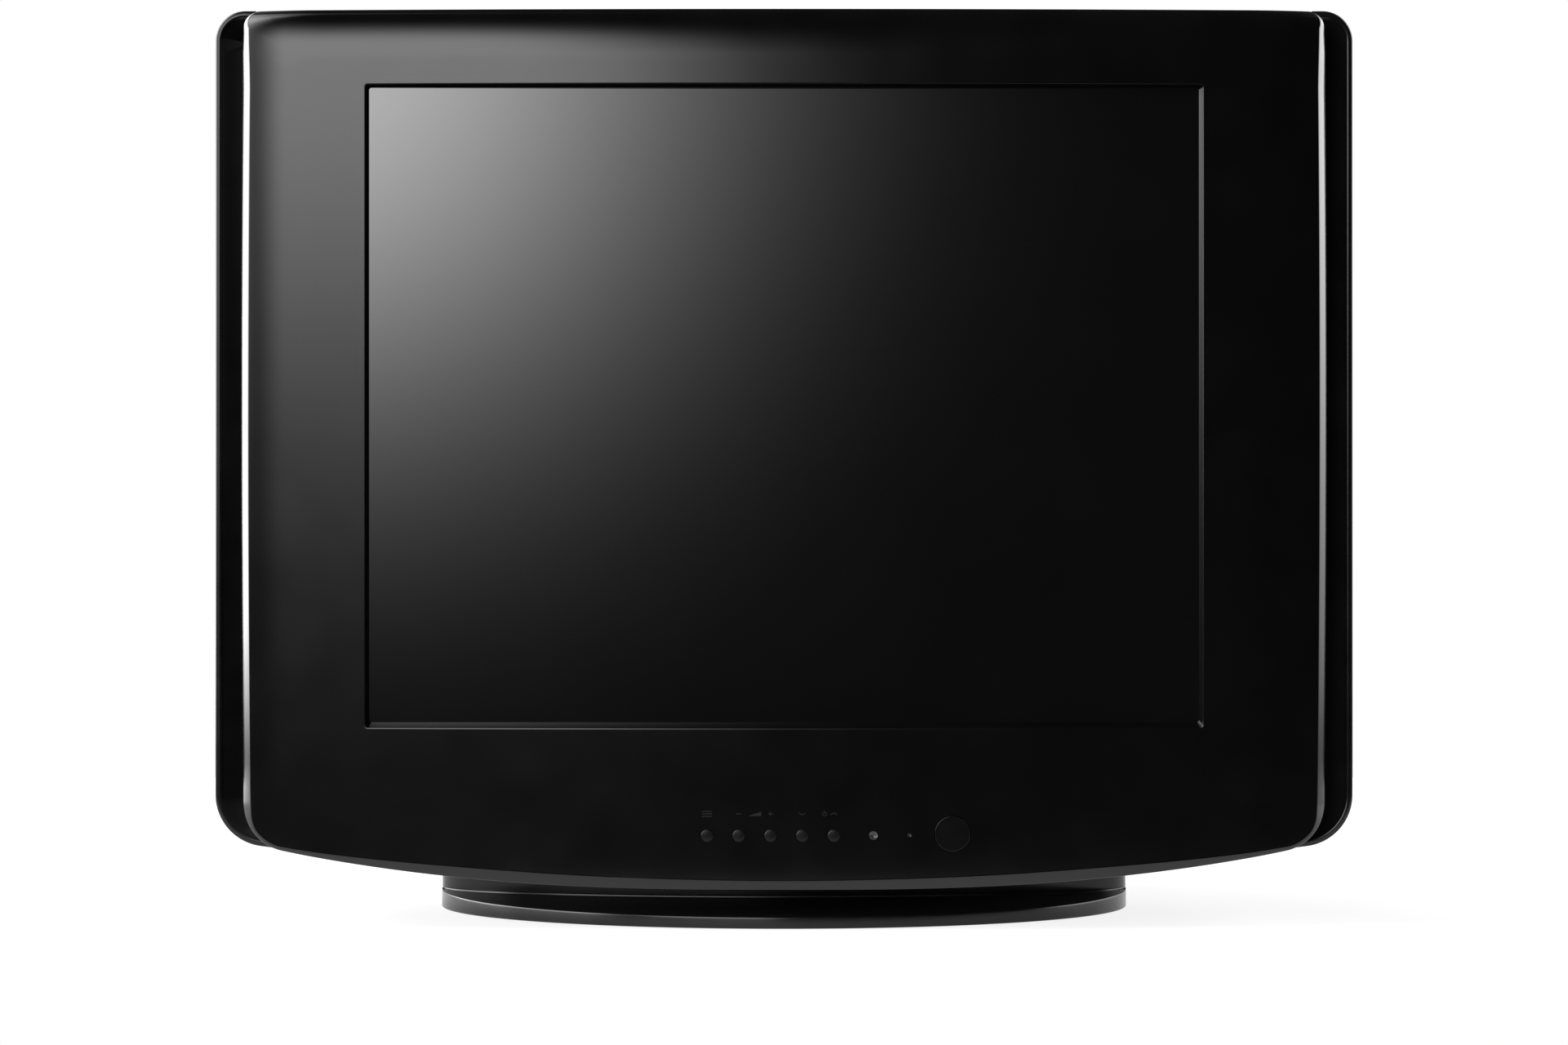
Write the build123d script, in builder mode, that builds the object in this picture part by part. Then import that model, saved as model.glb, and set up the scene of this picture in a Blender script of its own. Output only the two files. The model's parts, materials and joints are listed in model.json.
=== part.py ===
"""Cathode ray tube television set with a flat 51 cm screen, on an oval stand.

X points to the viewer's right, Y from the screen to the back and Z up. The origin lies on the
table under the middle of the set. All lengths are millimetres. Depths are measured from the
middle of the front panel.
"""
import os
from math import atan, degrees

from build123d import *

os.makedirs("parts", exist_ok=True)

# ---------------------------------------------------------------- driving dimensions
# Whole set
set_width = 565.0
set_height = 453.5
set_depth = 350.0
wall = 3.0  # moulded walls of the casing
seam = 0.3  # clearance between mouldings that meet at a seam
fit = 0.1  # clearance round a piece that is pushed or clamped home
running = 0.3  # clearance round a piece that moves

# Front panel
panel_width = 535.6
panel_gap = 0.5  # clearance round the panel where it sinks into the casing
panel_bottom = 19.0  # lowest point of the panel over the table
panel_bottom_rise = 23.5  # how much higher its bottom edge ends at the sides
panel_bottom_power = 2.59  # how late the bottom edge turns up
panel_depth = 36.0
panel_bow = 8.0  # how far the sides of the front lie behind its middle
panel_roll_width = 40.0  # strip at each side where the front rolls back
panel_roll = 7.0
panel_side_bow = 1.5
panel_top_drop = 1.5  # how far the panel ends below the top of the casing
panel_rim_wall = 4.5
panel_bevel = 4.2
panel_bevel_depth = 6.0
panel_top_roll = 8.0
panel_top_corner = 9.0
panel_bottom_corner = 25.0

# Screen and glass
screen_width = 409.0
screen_height = 312.4
screen_z = 257.3
screen_corner = 2.5
lip_width = 1.8
glass_depth = 14.0  # flat glass behind the middle of the panel
glass_width = 440.0
glass_height = 342.0
glass_corner = 24.0
glass_edge = 5.0
glass_thickness = 11.5
skirt_wall = 9.0
skirt_length = 60.0

# Funnel and neck of the tube
socket_room = 32.7  # from the end of the tube to the rear cover
funnel_wall = 5.0
shoulder_depth = 112.0
shoulder_width = 376.0
shoulder_height = 286.0
shoulder_corner = 60.0
throat_depth = 168.0
throat_width = 100.0
throat_height = 86.0
throat_corner = 35.0
neck_start = 214.0
neck_radius = 14.55
neck_wall = 1.6
stem_thickness = 4.0

# Casing
rim_depth = 32.0  # front edge of the side wings
rim_thickness = 3.5
wing_hollow = 4.0  # depth of the hollow between rim and panel
seam_depth = 150.0  # joint between front cabinet and rear cover
cabinet_taper = 3.0
cabinet_bottom = 21.5
cabinet_bottom_rise = 20.1
cabinet_top_radius = 15.0
cabinet_bottom_radius = 26.0
shoulder_line_depth = 235.0  # where the rear cover changes slope
shoulder_line_half = 200.0
shoulder_line_top = 395.0
shoulder_line_bottom = 26.0
shoulder_line_rise = 10.0
back_half = 125.0
back_top = 312.0
back_bottom = 36.0
back_rise = 3.0
cover_radius = 20.0

# Stand
foot_half = 178.0
foot_reach = 146.0
foot_centre_depth = 148.0
foot_clearance = 0.3
foot_front_height = 5.8
foot_crest_height = 9.4
neck_reach = 60.0
neck_bottom = 9.7
neck_skin = 3.5
rubber_radius = 9.0
rubber_height = 2.2
rubber_x = 120.0
rubber_y = 80.0

# Keys, switch, receiver and lamp
key_places = (-37.7, -22.2, -6.6, 8.9, 24.4)
key_names = ("menu", "volume_down", "volume_up", "channel_down", "channel_up")
key_z = 46.2
key_radius = 2.95
key_dome = 1.0
key_flange = 1.3
key_stem_radius = 1.5
key_travel = 0.6
power_x = 82.5
power_z = 47.0
power_radius = 8.7
power_travel = 3.5
power_skirt = 7.0
power_skin = 1.5
sensor_x = 43.8
sensor_radius = 2.15
lamp_x = 61.5
lamp_radius = 1.0
key_board_depth = 16.0
board_thickness = 1.6
tact_size = 6.0
tact_height = 3.5
plunger_height = 0.8
plunger_radius = 1.7

# Screws
screw_radius = 1.75
screw_head_radius = 4.0
screw_head = 2.5
long_screw_radius = 2.5
long_head_radius = 5.0
long_head = 3.0

# ---------------------------------------------------------------- derived sizes
front_y = (key_dome - set_depth) / 2  # the key domes stand in front of the panel
panel_half = panel_width / 2
panel_top = set_height - panel_top_drop
cabinet_half = set_width / 2
bulkhead_depth = rim_depth + wing_hollow
bulkhead_back = bulkhead_depth + wall
foot_y = front_y + foot_centre_depth
glass_front = glass_depth + seam
glass_back = glass_front + skirt_length
tube_end = set_depth - wall - socket_room
tube_axis = Axis((0, 0, screen_z), (0, 1, 0))


def facing_front(depth):
    """Upright plane at a depth behind the panel; a positive extrusion runs forward."""
    return Plane.XZ.offset(-(front_y + depth))


def level(height):
    """Level plane at a height over the table."""
    return Plane.XY.offset(height)


def panel_front(x):
    """Depth of the panel's front at x: a wide bow and a tighter roll along the sides."""
    past_roll = max(0.0, abs(x) - (panel_half - panel_roll_width)) / panel_roll_width
    return panel_bow * (x / panel_half) ** 2 + panel_roll * past_roll**2


def bottom_rise(x):
    """Height of the panel's bottom edge at x over its lowest point."""
    return panel_bottom_rise * (abs(x) / panel_half) ** panel_bottom_power


# ---------------------------------------------------------------- forms of the casing
def panel_form(rim, skin, bevelled):
    """Form of the panel with its outline taken in by rim and its front set back by skin."""
    half = panel_half - rim
    top = panel_top - rim
    stations = (1.0, 0.85, 0.65, 0.4, 0.0, -0.4, -0.65, -0.85, -1.0)
    bow_stations = (-1.0, -0.93, -0.86, -0.6, -0.3, 0.0, 0.3, 0.6, 0.86, 0.93, 1.0)
    with BuildPart() as form:
        with BuildSketch(facing_front(panel_depth)):
            with BuildLine():
                side_top = half - panel_side_bow
                foot = half - panel_side_bow / 2
                top_edge = Line((-side_top, top), (side_top, top))
                low = panel_bottom + rim
                bottom = Spline([(foot * s, low + bottom_rise(foot * s)) for s in stations])
                ThreePointArc(top_edge @ 1, (half, screen_z), bottom @ 0)
                ThreePointArc(bottom @ 1, (-half, screen_z), top_edge @ 0)
            make_face()
        extrude(amount=panel_depth)
        fillet(form.edges().filter_by(Axis.Y).group_by(Axis.Z)[-1], panel_top_corner - rim)
        fillet(form.edges().filter_by(Axis.Y).group_by(Axis.Z)[0], panel_bottom_corner - rim)
        with BuildSketch(Plane.XY):
            with BuildLine():
                reach = 1.05 * panel_half
                back = front_y + panel_depth + wall
                front = front_y + skin
                bow = Spline([(reach * s, front + panel_front(reach * s)) for s in bow_stations])
                Polyline(bow @ 1, (reach, back), (-reach, back), bow @ 0)
            make_face()
        extrude(amount=set_height, mode=Mode.INTERSECT)
        if bevelled:
            front_edges = form.faces().sort_by(Axis.Y)[0].edges()
            chamfer(front_edges, length=panel_bevel, length2=panel_bevel_depth)
            fillet(form.faces().sort_by(Axis.Y)[0].edges().sort_by(Axis.Z)[-1], panel_top_roll)
    return form.part


def casing_outline(depth, half, top, bottom, rise, top_radius, bottom_radius):
    """Upright outline of the casing with a flat top, upright sides and a bowed bottom."""
    with BuildSketch(facing_front(depth)) as outline:
        with BuildLine():
            Polyline((-half, bottom + rise), (-half, top), (half, top), (half, bottom + rise))
            ThreePointArc((half, bottom + rise), (0, bottom), (-half, bottom + rise))
        make_face()
        fillet(outline.vertices().group_by(Axis.Y)[-1], top_radius)
        fillet(outline.vertices().group_by(Axis.Y)[0], bottom_radius)
    return outline.sketch


def cabinet_outline(depth, inset):
    """Outline of the front cabinet at a depth, taken in by inset."""
    drawn_in = inset + cabinet_taper * (depth - rim_depth) / (seam_depth - rim_depth)
    return casing_outline(
        depth,
        cabinet_half - drawn_in,
        set_height - drawn_in,
        cabinet_bottom + drawn_in,
        cabinet_bottom_rise,
        cabinet_top_radius - drawn_in,
        cabinet_bottom_radius - drawn_in,
    )


def cabinet_form(start, inset):
    """Form of the front cabinet from a depth to the seam, taken in by inset."""
    front = cabinet_outline(start, inset).face()
    back = cabinet_outline(seam_depth, inset).face()
    with BuildPart() as form:
        loft([front, back], ruled=True)
    return form.part


def cover_form(inset, end):
    """Form of the rear cover from the seam to a depth, taken in by inset."""
    middle = casing_outline(
        shoulder_line_depth,
        shoulder_line_half - inset,
        shoulder_line_top - inset,
        shoulder_line_bottom + inset,
        shoulder_line_rise,
        cover_radius - inset,
        cover_radius - inset,
    )
    back = casing_outline(
        end,
        back_half - inset,
        back_top - inset,
        back_bottom + inset,
        back_rise,
        cover_radius - inset,
        cover_radius - inset,
    )
    start = cabinet_outline(seam_depth, inset).face().moved(Location((0, seam, 0)))
    with BuildPart() as form:
        loft([start, middle.face()], ruled=True)
        loft([middle.face(), back.face()], ruled=True)
    return form.part


panel_outside = panel_form(0, 0, bevelled=True)
panel_room = panel_form(-panel_gap, 0, bevelled=False)
panel_hollow = panel_form(panel_rim_wall, wall, bevelled=False)
cabinet_outside = cabinet_form(rim_depth, 0)
cabinet_hollow = cabinet_form(bulkhead_back, wall)
cover_outside = cover_form(0, set_depth)
cover_hollow = cover_form(wall, set_depth - wall)

# ---------------------------------------------------------------- places shared by several pieces
panel_screw_x = 246.0
panel_screw_heights = (110.0, 260.0, 410.0)
panel_screw_places = [(side * panel_screw_x, z) for side in (-1, 1) for z in panel_screw_heights]
panel_screw_reach = 8.0  # how far a screw bites into its post
cover_boss_inset = 8.0 + cabinet_taper
cover_screw_heights = (110.0, 380.0)
cover_screw_top_x = 140.0
cover_boss_length = 20.0
cover_screw_reach = 12.0
cover_screw_x = cabinet_half - cover_boss_inset
cover_screw_places = [(side * cover_screw_x, z) for side in (-1, 1) for z in cover_screw_heights]
cover_screw_places += [(side * cover_screw_top_x, set_height - cover_boss_inset) for side in (-1, 1)]
lug_out = 8.0
lug_radius = 9.0
lug_depth = 52.0
lug_thickness = 2.0
lug_x = glass_width / 2 + lug_out
lug_z = glass_height / 2 + lug_out
lug_places = [(x * lug_x, screen_z + z * lug_z) for x in (-1, 1) for z in (-1, 1)]
stand_screw_places = [(side * 60, foot_y - 40) for side in (-1, 1)]
stand_screw_places += [(side * 125, foot_y - 12) for side in (-1, 1)]
stand_screw_top = 38.0
stand_boss_top = 41.0
chassis_bottom = 44.0
chassis_height = 10.0
chassis_width = 250.0
chassis_front = 126.0
chassis_room = 17.0  # from the chassis to the rear cover
chassis_back = set_depth - wall - chassis_room
chassis_post_places = [(x * 75, front_y + 140) for x in (-1, 1)]
cover_post_inset = 10.0
cover_post_places = [(x * 100, front_y + chassis_back - cover_post_inset) for x in (-1, 1)]
speaker_z = 135.0
speaker_depth = 88.0
speaker_seat = 272.0  # flat landing of the speakers, from the middle of the set
speaker_height = 120.0
speaker_width = 54.0
board_post_places = (-52.0, 72.0)
board_screw_reach = 6.0
post_radius = 4.0

# ---------------------------------------------------------------- front panel
lip_draft = degrees(atan(lip_width / glass_depth))
frame_width = screen_width + 2 * (lip_width + wall)
frame_height = screen_height + 2 * (lip_width + wall)
with BuildPart() as panel_posts:
    with BuildSketch(facing_front(panel_depth)):
        with Locations(*panel_screw_places):
            Circle(post_radius)
    extrude(amount=panel_depth)
    with BuildSketch(facing_front(key_board_depth)):
        with Locations(*[(x, key_z) for x in board_post_places]):
            Circle(post_radius)
    extrude(amount=key_board_depth)
    with BuildSketch(facing_front(power_skirt + wall)):
        with Locations((power_x, power_z)):
            Circle(power_radius + running + wall / 2)
    extrude(amount=power_skirt + wall)
    add(panel_outside, mode=Mode.INTERSECT)

with BuildPart() as screen_frame:
    with BuildSketch(facing_front(glass_depth)):
        with Locations((0, screen_z)):
            RectangleRounded(frame_width, frame_height, screen_corner + wall)
    extrude(amount=glass_depth)
    add(panel_outside, mode=Mode.INTERSECT)

with BuildPart() as front_panel:
    add(panel_outside)
    add(panel_hollow, mode=Mode.SUBTRACT)
    add(panel_posts.part)
    add(screen_frame.part)
    with BuildSketch(facing_front(glass_depth)):
        with Locations((0, screen_z)):
            RectangleRounded(screen_width, screen_height, screen_corner)
    extrude(amount=glass_depth + 1, taper=-lip_draft, mode=Mode.SUBTRACT)
    with BuildSketch(facing_front(panel_depth)):
        with Locations(*[(x, key_z) for x in key_places]):
            Circle(key_radius + running)
        with Locations((power_x, power_z)):
            Circle(power_radius + running)
        with Locations((sensor_x, key_z)):
            Circle(sensor_radius + fit)
        with Locations((lamp_x, key_z)):
            Circle(lamp_radius + fit)
    extrude(amount=panel_depth + 1, mode=Mode.SUBTRACT)
    with BuildSketch(facing_front(panel_depth)):
        with Locations(*panel_screw_places):
            Circle(screw_radius + fit / 2)
    extrude(amount=panel_screw_reach + 2, mode=Mode.SUBTRACT)
    with BuildSketch(facing_front(key_board_depth)):
        with Locations(*[(x, key_z) for x in board_post_places]):
            Circle(screw_radius + fit / 2)
    extrude(amount=board_screw_reach + 1, mode=Mode.SUBTRACT)
front_panel.part.label = "front_panel"
export_step(front_panel.part, "parts/front_panel.step")

# ---------------------------------------------------------------- front cabinet
with BuildPart() as cabinet_bosses:
    with BuildSketch(facing_front(lug_depth)):
        with Locations(*lug_places):
            Circle(lug_radius - 1)
    extrude(amount=lug_depth - bulkhead_back)
    with BuildSketch(facing_front(seam_depth)):
        with Locations(*cover_screw_places):
            Circle(post_radius + 2)
    extrude(amount=cover_boss_length + cover_screw_reach)
    with BuildSketch(level(stand_boss_top)):
        with Locations(*stand_screw_places):
            Circle(long_screw_radius + wall)
    extrude(amount=cabinet_bottom - stand_boss_top)
    with BuildSketch(level(chassis_bottom)):
        with Locations(*chassis_post_places):
            Circle(post_radius)
    extrude(amount=cabinet_bottom - chassis_bottom)
    for side in (-1, 1):
        with BuildSketch(Plane.YZ.offset(side * speaker_seat)):
            with Locations((front_y + speaker_depth, speaker_z)):
                room_width = speaker_width - 2 * wall
                room_height = speaker_height - 2 * wall
                RectangleRounded(speaker_width + 2 * wall, speaker_height + 2 * wall, 8)
                RectangleRounded(room_width, room_height, 6, mode=Mode.SUBTRACT)
        extrude(amount=side * (cabinet_half - speaker_seat))
    add(cabinet_outside, mode=Mode.INTERSECT)

wire_slot_z = 66.0  # the key board's wires pass through the bulkhead here
grille_pitch = 9.0
grille_slots = 11
with BuildPart() as front_cabinet:
    add(cabinet_outside)
    add(cabinet_hollow, mode=Mode.SUBTRACT)
    wing_outline = cabinet_outline(bulkhead_depth, rim_thickness)
    extrude(to_extrude=wing_outline, amount=wing_hollow + 1, mode=Mode.SUBTRACT)
    add(panel_room, mode=Mode.SUBTRACT)
    with Locations((0, 0, panel_top_drop)):
        add(panel_room, mode=Mode.SUBTRACT)
    with BuildSketch(facing_front(bulkhead_back)):
        with Locations((0, screen_z)):
            RectangleRounded(glass_width + 4, glass_height + 4, glass_corner + 2)
        with Locations((0, wire_slot_z)):
            SlotOverall(24, 8)
    extrude(amount=2 * wall, mode=Mode.SUBTRACT)
    add(cabinet_bosses.part)
    with BuildSketch(facing_front(lug_depth)):
        with Locations(*lug_places):
            Circle(long_screw_radius + fit / 2)
    extrude(amount=lug_depth - bulkhead_back, mode=Mode.SUBTRACT)
    with BuildSketch(facing_front(bulkhead_back)):
        with Locations(*panel_screw_places):
            Circle(screw_radius + fit)
    extrude(amount=2 * wall, mode=Mode.SUBTRACT)
    with BuildSketch(facing_front(seam_depth)):
        with Locations(*cover_screw_places):
            Circle(screw_radius + fit / 2)
    extrude(amount=cover_screw_reach + 2, mode=Mode.SUBTRACT)
    with BuildSketch(level(cabinet_bottom)):
        with Locations(*stand_screw_places):
            Circle(long_screw_radius + fit / 2)
    extrude(amount=stand_screw_top + 1 - cabinet_bottom, mode=Mode.SUBTRACT)
    for side in (-1, 1):
        with BuildSketch(Plane.YZ.offset(side * speaker_seat)):
            with Locations((front_y + speaker_depth, speaker_z)):
                with GridLocations(0, grille_pitch, 1, grille_slots):
                    SlotOverall(speaker_width - 4 * wall, wall)
        extrude(amount=side * (cabinet_half - speaker_seat), mode=Mode.SUBTRACT)
front_cabinet.part.label = "front_cabinet"
export_step(front_cabinet.part, "parts/front_cabinet.step")

# ---------------------------------------------------------------- rear cover
jack_x = -50.0
jack_width = 90.0
jack_height = 36.0
jack_depth = 22.0
board_top = chassis_bottom + chassis_height + board_thickness
tuner_x = 62.0
tuner_width = 46.0
aerial_radius = 4.8
gland_x = 100.0
gland_z = 66.0
gland_radius = 6.0
gland_rubber = 2.5
head_seat_depth = seam_depth + seam + wall
slot_length = 44.0
slot_width = 3.0
slot_pitch = 9.0
vent_inset = 60.0  # from the back of the set to the middle of the vents
vent_y = front_y + set_depth - vent_inset

with BuildPart() as cover_bosses:
    with BuildSketch(facing_front(seam_depth + seam)):
        with Locations(*cover_screw_places):
            Circle(post_radius + 2)
    extrude(amount=-cover_boss_length)
    with BuildSketch(level(chassis_bottom)):
        with Locations(*cover_post_places):
            Circle(post_radius)
    extrude(amount=cabinet_bottom - chassis_bottom)
    add(cover_outside, mode=Mode.INTERSECT)

with BuildPart() as rear_cover:
    add(cover_outside)
    add(cover_hollow, mode=Mode.SUBTRACT)
    add(cover_bosses.part)
    with BuildSketch(facing_front(seam_depth + seam)):
        with Locations(*cover_screw_places):
            Circle(screw_radius + fit)
    extrude(amount=-cover_boss_length, mode=Mode.SUBTRACT)
    with BuildSketch(facing_front(head_seat_depth)):
        with Locations(*cover_screw_places):
            Circle(screw_head_radius + seam)
    extrude(amount=-30, mode=Mode.SUBTRACT)
    with BuildSketch(level(back_top - cover_radius)):
        with Locations((0, vent_y)):
            with GridLocations(slot_length + 8, slot_pitch, 3, 9):
                Rectangle(slot_length, slot_width)
    extrude(amount=set_height - screen_z, mode=Mode.SUBTRACT)
    with BuildSketch(level(stand_boss_top)):
        with Locations((0, vent_y)):
            with GridLocations(slot_length + 8, slot_pitch, 2, 5):
                Rectangle(slot_length, slot_width)
    extrude(amount=-stand_boss_top, mode=Mode.SUBTRACT)
    with BuildSketch(facing_front(set_depth)):
        with Locations((0, screen_z - 20)):
            with GridLocations(slot_length + 8, slot_pitch, 3, 11):
                Rectangle(slot_length, slot_width)
        with Locations((jack_x, board_top + jack_height / 2)):
            Rectangle(jack_width + 2 * seam, jack_height + 2 * seam)
        with Locations((tuner_x, board_top + jack_height / 2)):
            Circle(aerial_radius + 2)
        with Locations((gland_x, gland_z)):
            Circle(gland_radius + fit)
    extrude(amount=2 * wall, mode=Mode.SUBTRACT)
rear_cover.part.label = "rear_cover"
export_step(rear_cover.part, "parts/rear_cover.step")

with BuildPart() as cord_gland:
    with BuildSketch(level(gland_z)):
        with BuildLine():
            bore = gland_x + gland_radius - gland_rubber
            barrel = gland_x + gland_radius
            flange = barrel + 2
            inside = front_y + set_depth - wall - fit
            outside = front_y + set_depth
            Polyline(
                (bore, inside - gland_rubber),
                (flange, inside - gland_rubber),
                (flange, inside),
                (barrel, inside),
                (barrel, outside),
                (bore, outside),
                close=True,
            )
        make_face()
    revolve(axis=Axis((gland_x, 0, gland_z), (0, 1, 0)))
cord_gland.part.label = "cord_gland"
export_step(cord_gland.part, "parts/cord_gland.step")

# ---------------------------------------------------------------- stand
with BuildPart() as stand_neck:
    with BuildSketch(level(neck_bottom)):
        with Locations((0, foot_y)):
            Ellipse(foot_half, neck_reach)
    extrude(amount=stand_boss_top - neck_bottom)
    with BuildSketch(level(neck_bottom + wall)):
        with Locations((0, foot_y)):
            Ellipse(foot_half - neck_skin, neck_reach - neck_skin)
            Rectangle(2 * foot_half, wall, mode=Mode.SUBTRACT)
        with Locations(*stand_screw_places):
            Circle(long_screw_radius + wall, mode=Mode.SUBTRACT)
        with Locations((0, foot_y)):
            with GridLocations(foot_half / 2, 0, 4, 1):
                Rectangle(wall, 2 * neck_reach, mode=Mode.SUBTRACT)
    extrude(amount=stand_boss_top, mode=Mode.SUBTRACT)
    with BuildSketch(level(neck_bottom)):
        with Locations(*stand_screw_places):
            Circle(long_screw_radius + fit)
    extrude(amount=stand_boss_top, mode=Mode.SUBTRACT)
    add(cabinet_outside, mode=Mode.SUBTRACT)
    add(cabinet_outside.moved(Location((0, seam, 0))), mode=Mode.SUBTRACT)
    add(cover_outside, mode=Mode.SUBTRACT)
stand_neck.part.label = "stand_neck"
export_step(stand_neck.part, "parts/stand_neck.step")

head_seat = foot_clearance + long_head + seam
rubber_places = [(x * rubber_x, foot_y + y * rubber_y) for x in (-1, 1) for y in (-1, 1)]
with BuildPart() as stand_foot:
    with BuildSketch(level(foot_clearance)):
        with Locations((0, foot_y)):
            Ellipse(foot_half, foot_reach)
    extrude(amount=foot_crest_height)
    with BuildSketch(Plane.YZ.offset(-foot_half)):
        with BuildLine():
            Polyline(
                (foot_y - foot_reach, 0),
                (foot_y - foot_reach, foot_front_height),
                (foot_y, foot_crest_height),
                (foot_y + foot_reach, foot_front_height),
                (foot_y + foot_reach, 0),
                close=True,
            )
        make_face()
    extrude(amount=2 * foot_half, mode=Mode.INTERSECT)
    with BuildSketch(level(foot_front_height)):
        with Locations((0, foot_y)):
            Ellipse(foot_half - 3 * wall, neck_reach - 2 * wall)
    extrude(amount=neck_bottom - foot_front_height)
    with BuildSketch(level(0)):
        with Locations((0, foot_y)):
            Ellipse(foot_half - neck_skin, foot_reach - neck_skin)
            with GridLocations(0, foot_reach / 2, 1, 3):
                Rectangle(2 * foot_half, wall, mode=Mode.SUBTRACT)
        with Locations(*rubber_places):
            Circle(rubber_radius + wall, mode=Mode.SUBTRACT)
        with Locations(*stand_screw_places):
            Circle(long_head_radius + wall, mode=Mode.SUBTRACT)
    extrude(amount=foot_front_height - wall, mode=Mode.SUBTRACT)
    with BuildSketch(level(0)):
        with Locations(*rubber_places):
            Circle(rubber_radius + fit)
    extrude(amount=rubber_height, mode=Mode.SUBTRACT)
    with BuildSketch(level(0)):
        with Locations(*stand_screw_places):
            Circle(long_head_radius + seam)
    extrude(amount=head_seat, mode=Mode.SUBTRACT)
    with BuildSketch(level(0)):
        with Locations(*stand_screw_places):
            Circle(long_screw_radius + fit)
    extrude(amount=2 * neck_bottom, mode=Mode.SUBTRACT)
stand_foot.part.label = "stand_foot"
export_step(stand_foot.part, "parts/stand_foot.step")

with BuildPart() as rubber_feet:
    with BuildSketch(level(0)):
        with Locations(*rubber_places):
            Circle(rubber_radius)
    extrude(amount=rubber_height)
rubber_feet.part.label = "rubber_feet"
export_step(rubber_feet.part, "parts/rubber_feet.step")

with BuildPart() as stand_screws:
    with BuildSketch(level(head_seat - long_head)):
        with Locations(*stand_screw_places):
            Circle(long_head_radius)
    extrude(amount=long_head)
    with BuildSketch(level(head_seat)):
        with Locations(*stand_screw_places):
            Circle(long_screw_radius)
    extrude(amount=stand_screw_top - head_seat)
stand_screws.part.label = "stand_screws"
export_step(stand_screws.part, "parts/stand_screws.step")

# ---------------------------------------------------------------- keys and power button
tact_front = key_board_depth - tact_height
stem_end = tact_front - plunger_height - key_travel - running
for name, x in zip(key_names, key_places):
    dome_front = panel_front(x) - key_dome
    flange_front = panel_front(x) + wall + running
    with BuildPart() as key:
        with BuildSketch(Plane.YZ.offset(x)):
            with BuildLine():
                ThreePointArc(
                    (front_y + dome_front, key_z),
                    (front_y + dome_front + 0.3 * key_dome, key_z + 0.7 * key_radius),
                    (front_y + dome_front + key_dome, key_z + key_radius),
                )
                Polyline(
                    (front_y + dome_front + key_dome, key_z + key_radius),
                    (front_y + flange_front, key_z + key_radius),
                    (front_y + flange_front, key_z + key_radius + key_flange),
                    (front_y + flange_front + key_flange, key_z + key_radius + key_flange),
                    (front_y + flange_front + key_flange, key_z + key_stem_radius),
                    (front_y + stem_end, key_z + key_stem_radius),
                    (front_y + stem_end, key_z),
                    (front_y + dome_front, key_z),
                )
            make_face()
        revolve(axis=Axis((x, 0, key_z), (0, 1, 0)))
    key.part.label = f"key_{name}"
    export_step(key.part, f"parts/key_{name}.step")

power_face = panel_front(power_x)
plunger_start = 14.0
plunger_half = 2.0
switch_front = 22.0
switch_width = 18.0
switch_height = 16.0
plunger_length = switch_front - plunger_start + power_travel + 2 * wall
with BuildPart() as power_button:
    with BuildSketch(facing_front(power_face + power_skirt)):
        with Locations((power_x, power_z)):
            Circle(power_radius)
    extrude(amount=power_skirt)
    fillet(power_button.faces().sort_by(Axis.Y)[0].edges(), 0.5)
    with BuildSketch(facing_front(power_face + power_skirt)):
        with Locations((power_x, power_z)):
            Circle(power_radius - power_skin)
    extrude(amount=power_skirt - power_skin, mode=Mode.SUBTRACT)
    with BuildSketch(facing_front(plunger_start)):
        with Locations((power_x, power_z)):
            Circle(plunger_half + 1)
    extrude(amount=plunger_start - power_face - power_skin)
power_button.part.label = "power_button"
export_step(power_button.part, "parts/power_button.step")

with BuildPart() as power_switch_plunger:
    with BuildSketch(facing_front(plunger_start)):
        with Locations((power_x, power_z)):
            Rectangle(2 * plunger_half, 2 * plunger_half)
    extrude(amount=-plunger_length)
power_switch_plunger.part.label = "power_switch_plunger"
export_step(power_switch_plunger.part, "parts/power_switch_plunger.step")

with BuildPart() as power_switch:
    with BuildSketch(facing_front(bulkhead_depth)):
        with Locations((power_x, power_z)):
            RectangleRounded(switch_width, switch_height, 1)
    extrude(amount=bulkhead_depth - switch_front)
    with BuildSketch(facing_front(switch_front)):
        with Locations((power_x, power_z)):
            Rectangle(2 * (plunger_half + running), 2 * (plunger_half + running))
    plunger_room = plunger_start + plunger_length + power_travel + running - switch_front
    extrude(amount=-plunger_room, mode=Mode.SUBTRACT)
power_switch.part.label = "power_switch"
export_step(power_switch.part, "parts/power_switch.step")

key_board_left = board_post_places[0] - 2 * post_radius
key_board_right = board_post_places[1] + 2 * post_radius
with BuildPart() as key_board:
    with BuildSketch(facing_front(key_board_depth)):
        with Locations(((key_board_left + key_board_right) / 2, key_z)):
            RectangleRounded(key_board_right - key_board_left - 8, 18, 1)
        with Locations(*[(x, key_z) for x in board_post_places]):
            Circle(screw_radius + fit, mode=Mode.SUBTRACT)
    extrude(amount=-board_thickness)
key_board.part.label = "key_board"
export_step(key_board.part, "parts/key_board.step")

with BuildPart() as board_screws:
    with BuildSketch(facing_front(key_board_depth + board_thickness)):
        with Locations(*[(x, key_z) for x in board_post_places]):
            Circle(screw_head_radius)
    extrude(amount=-screw_head)
    with BuildSketch(facing_front(key_board_depth + board_thickness)):
        with Locations(*[(x, key_z) for x in board_post_places]):
            Circle(screw_radius)
    extrude(amount=board_thickness + board_screw_reach)
board_screws.part.label = "board_screws"
export_step(board_screws.part, "parts/board_screws.step")

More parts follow.
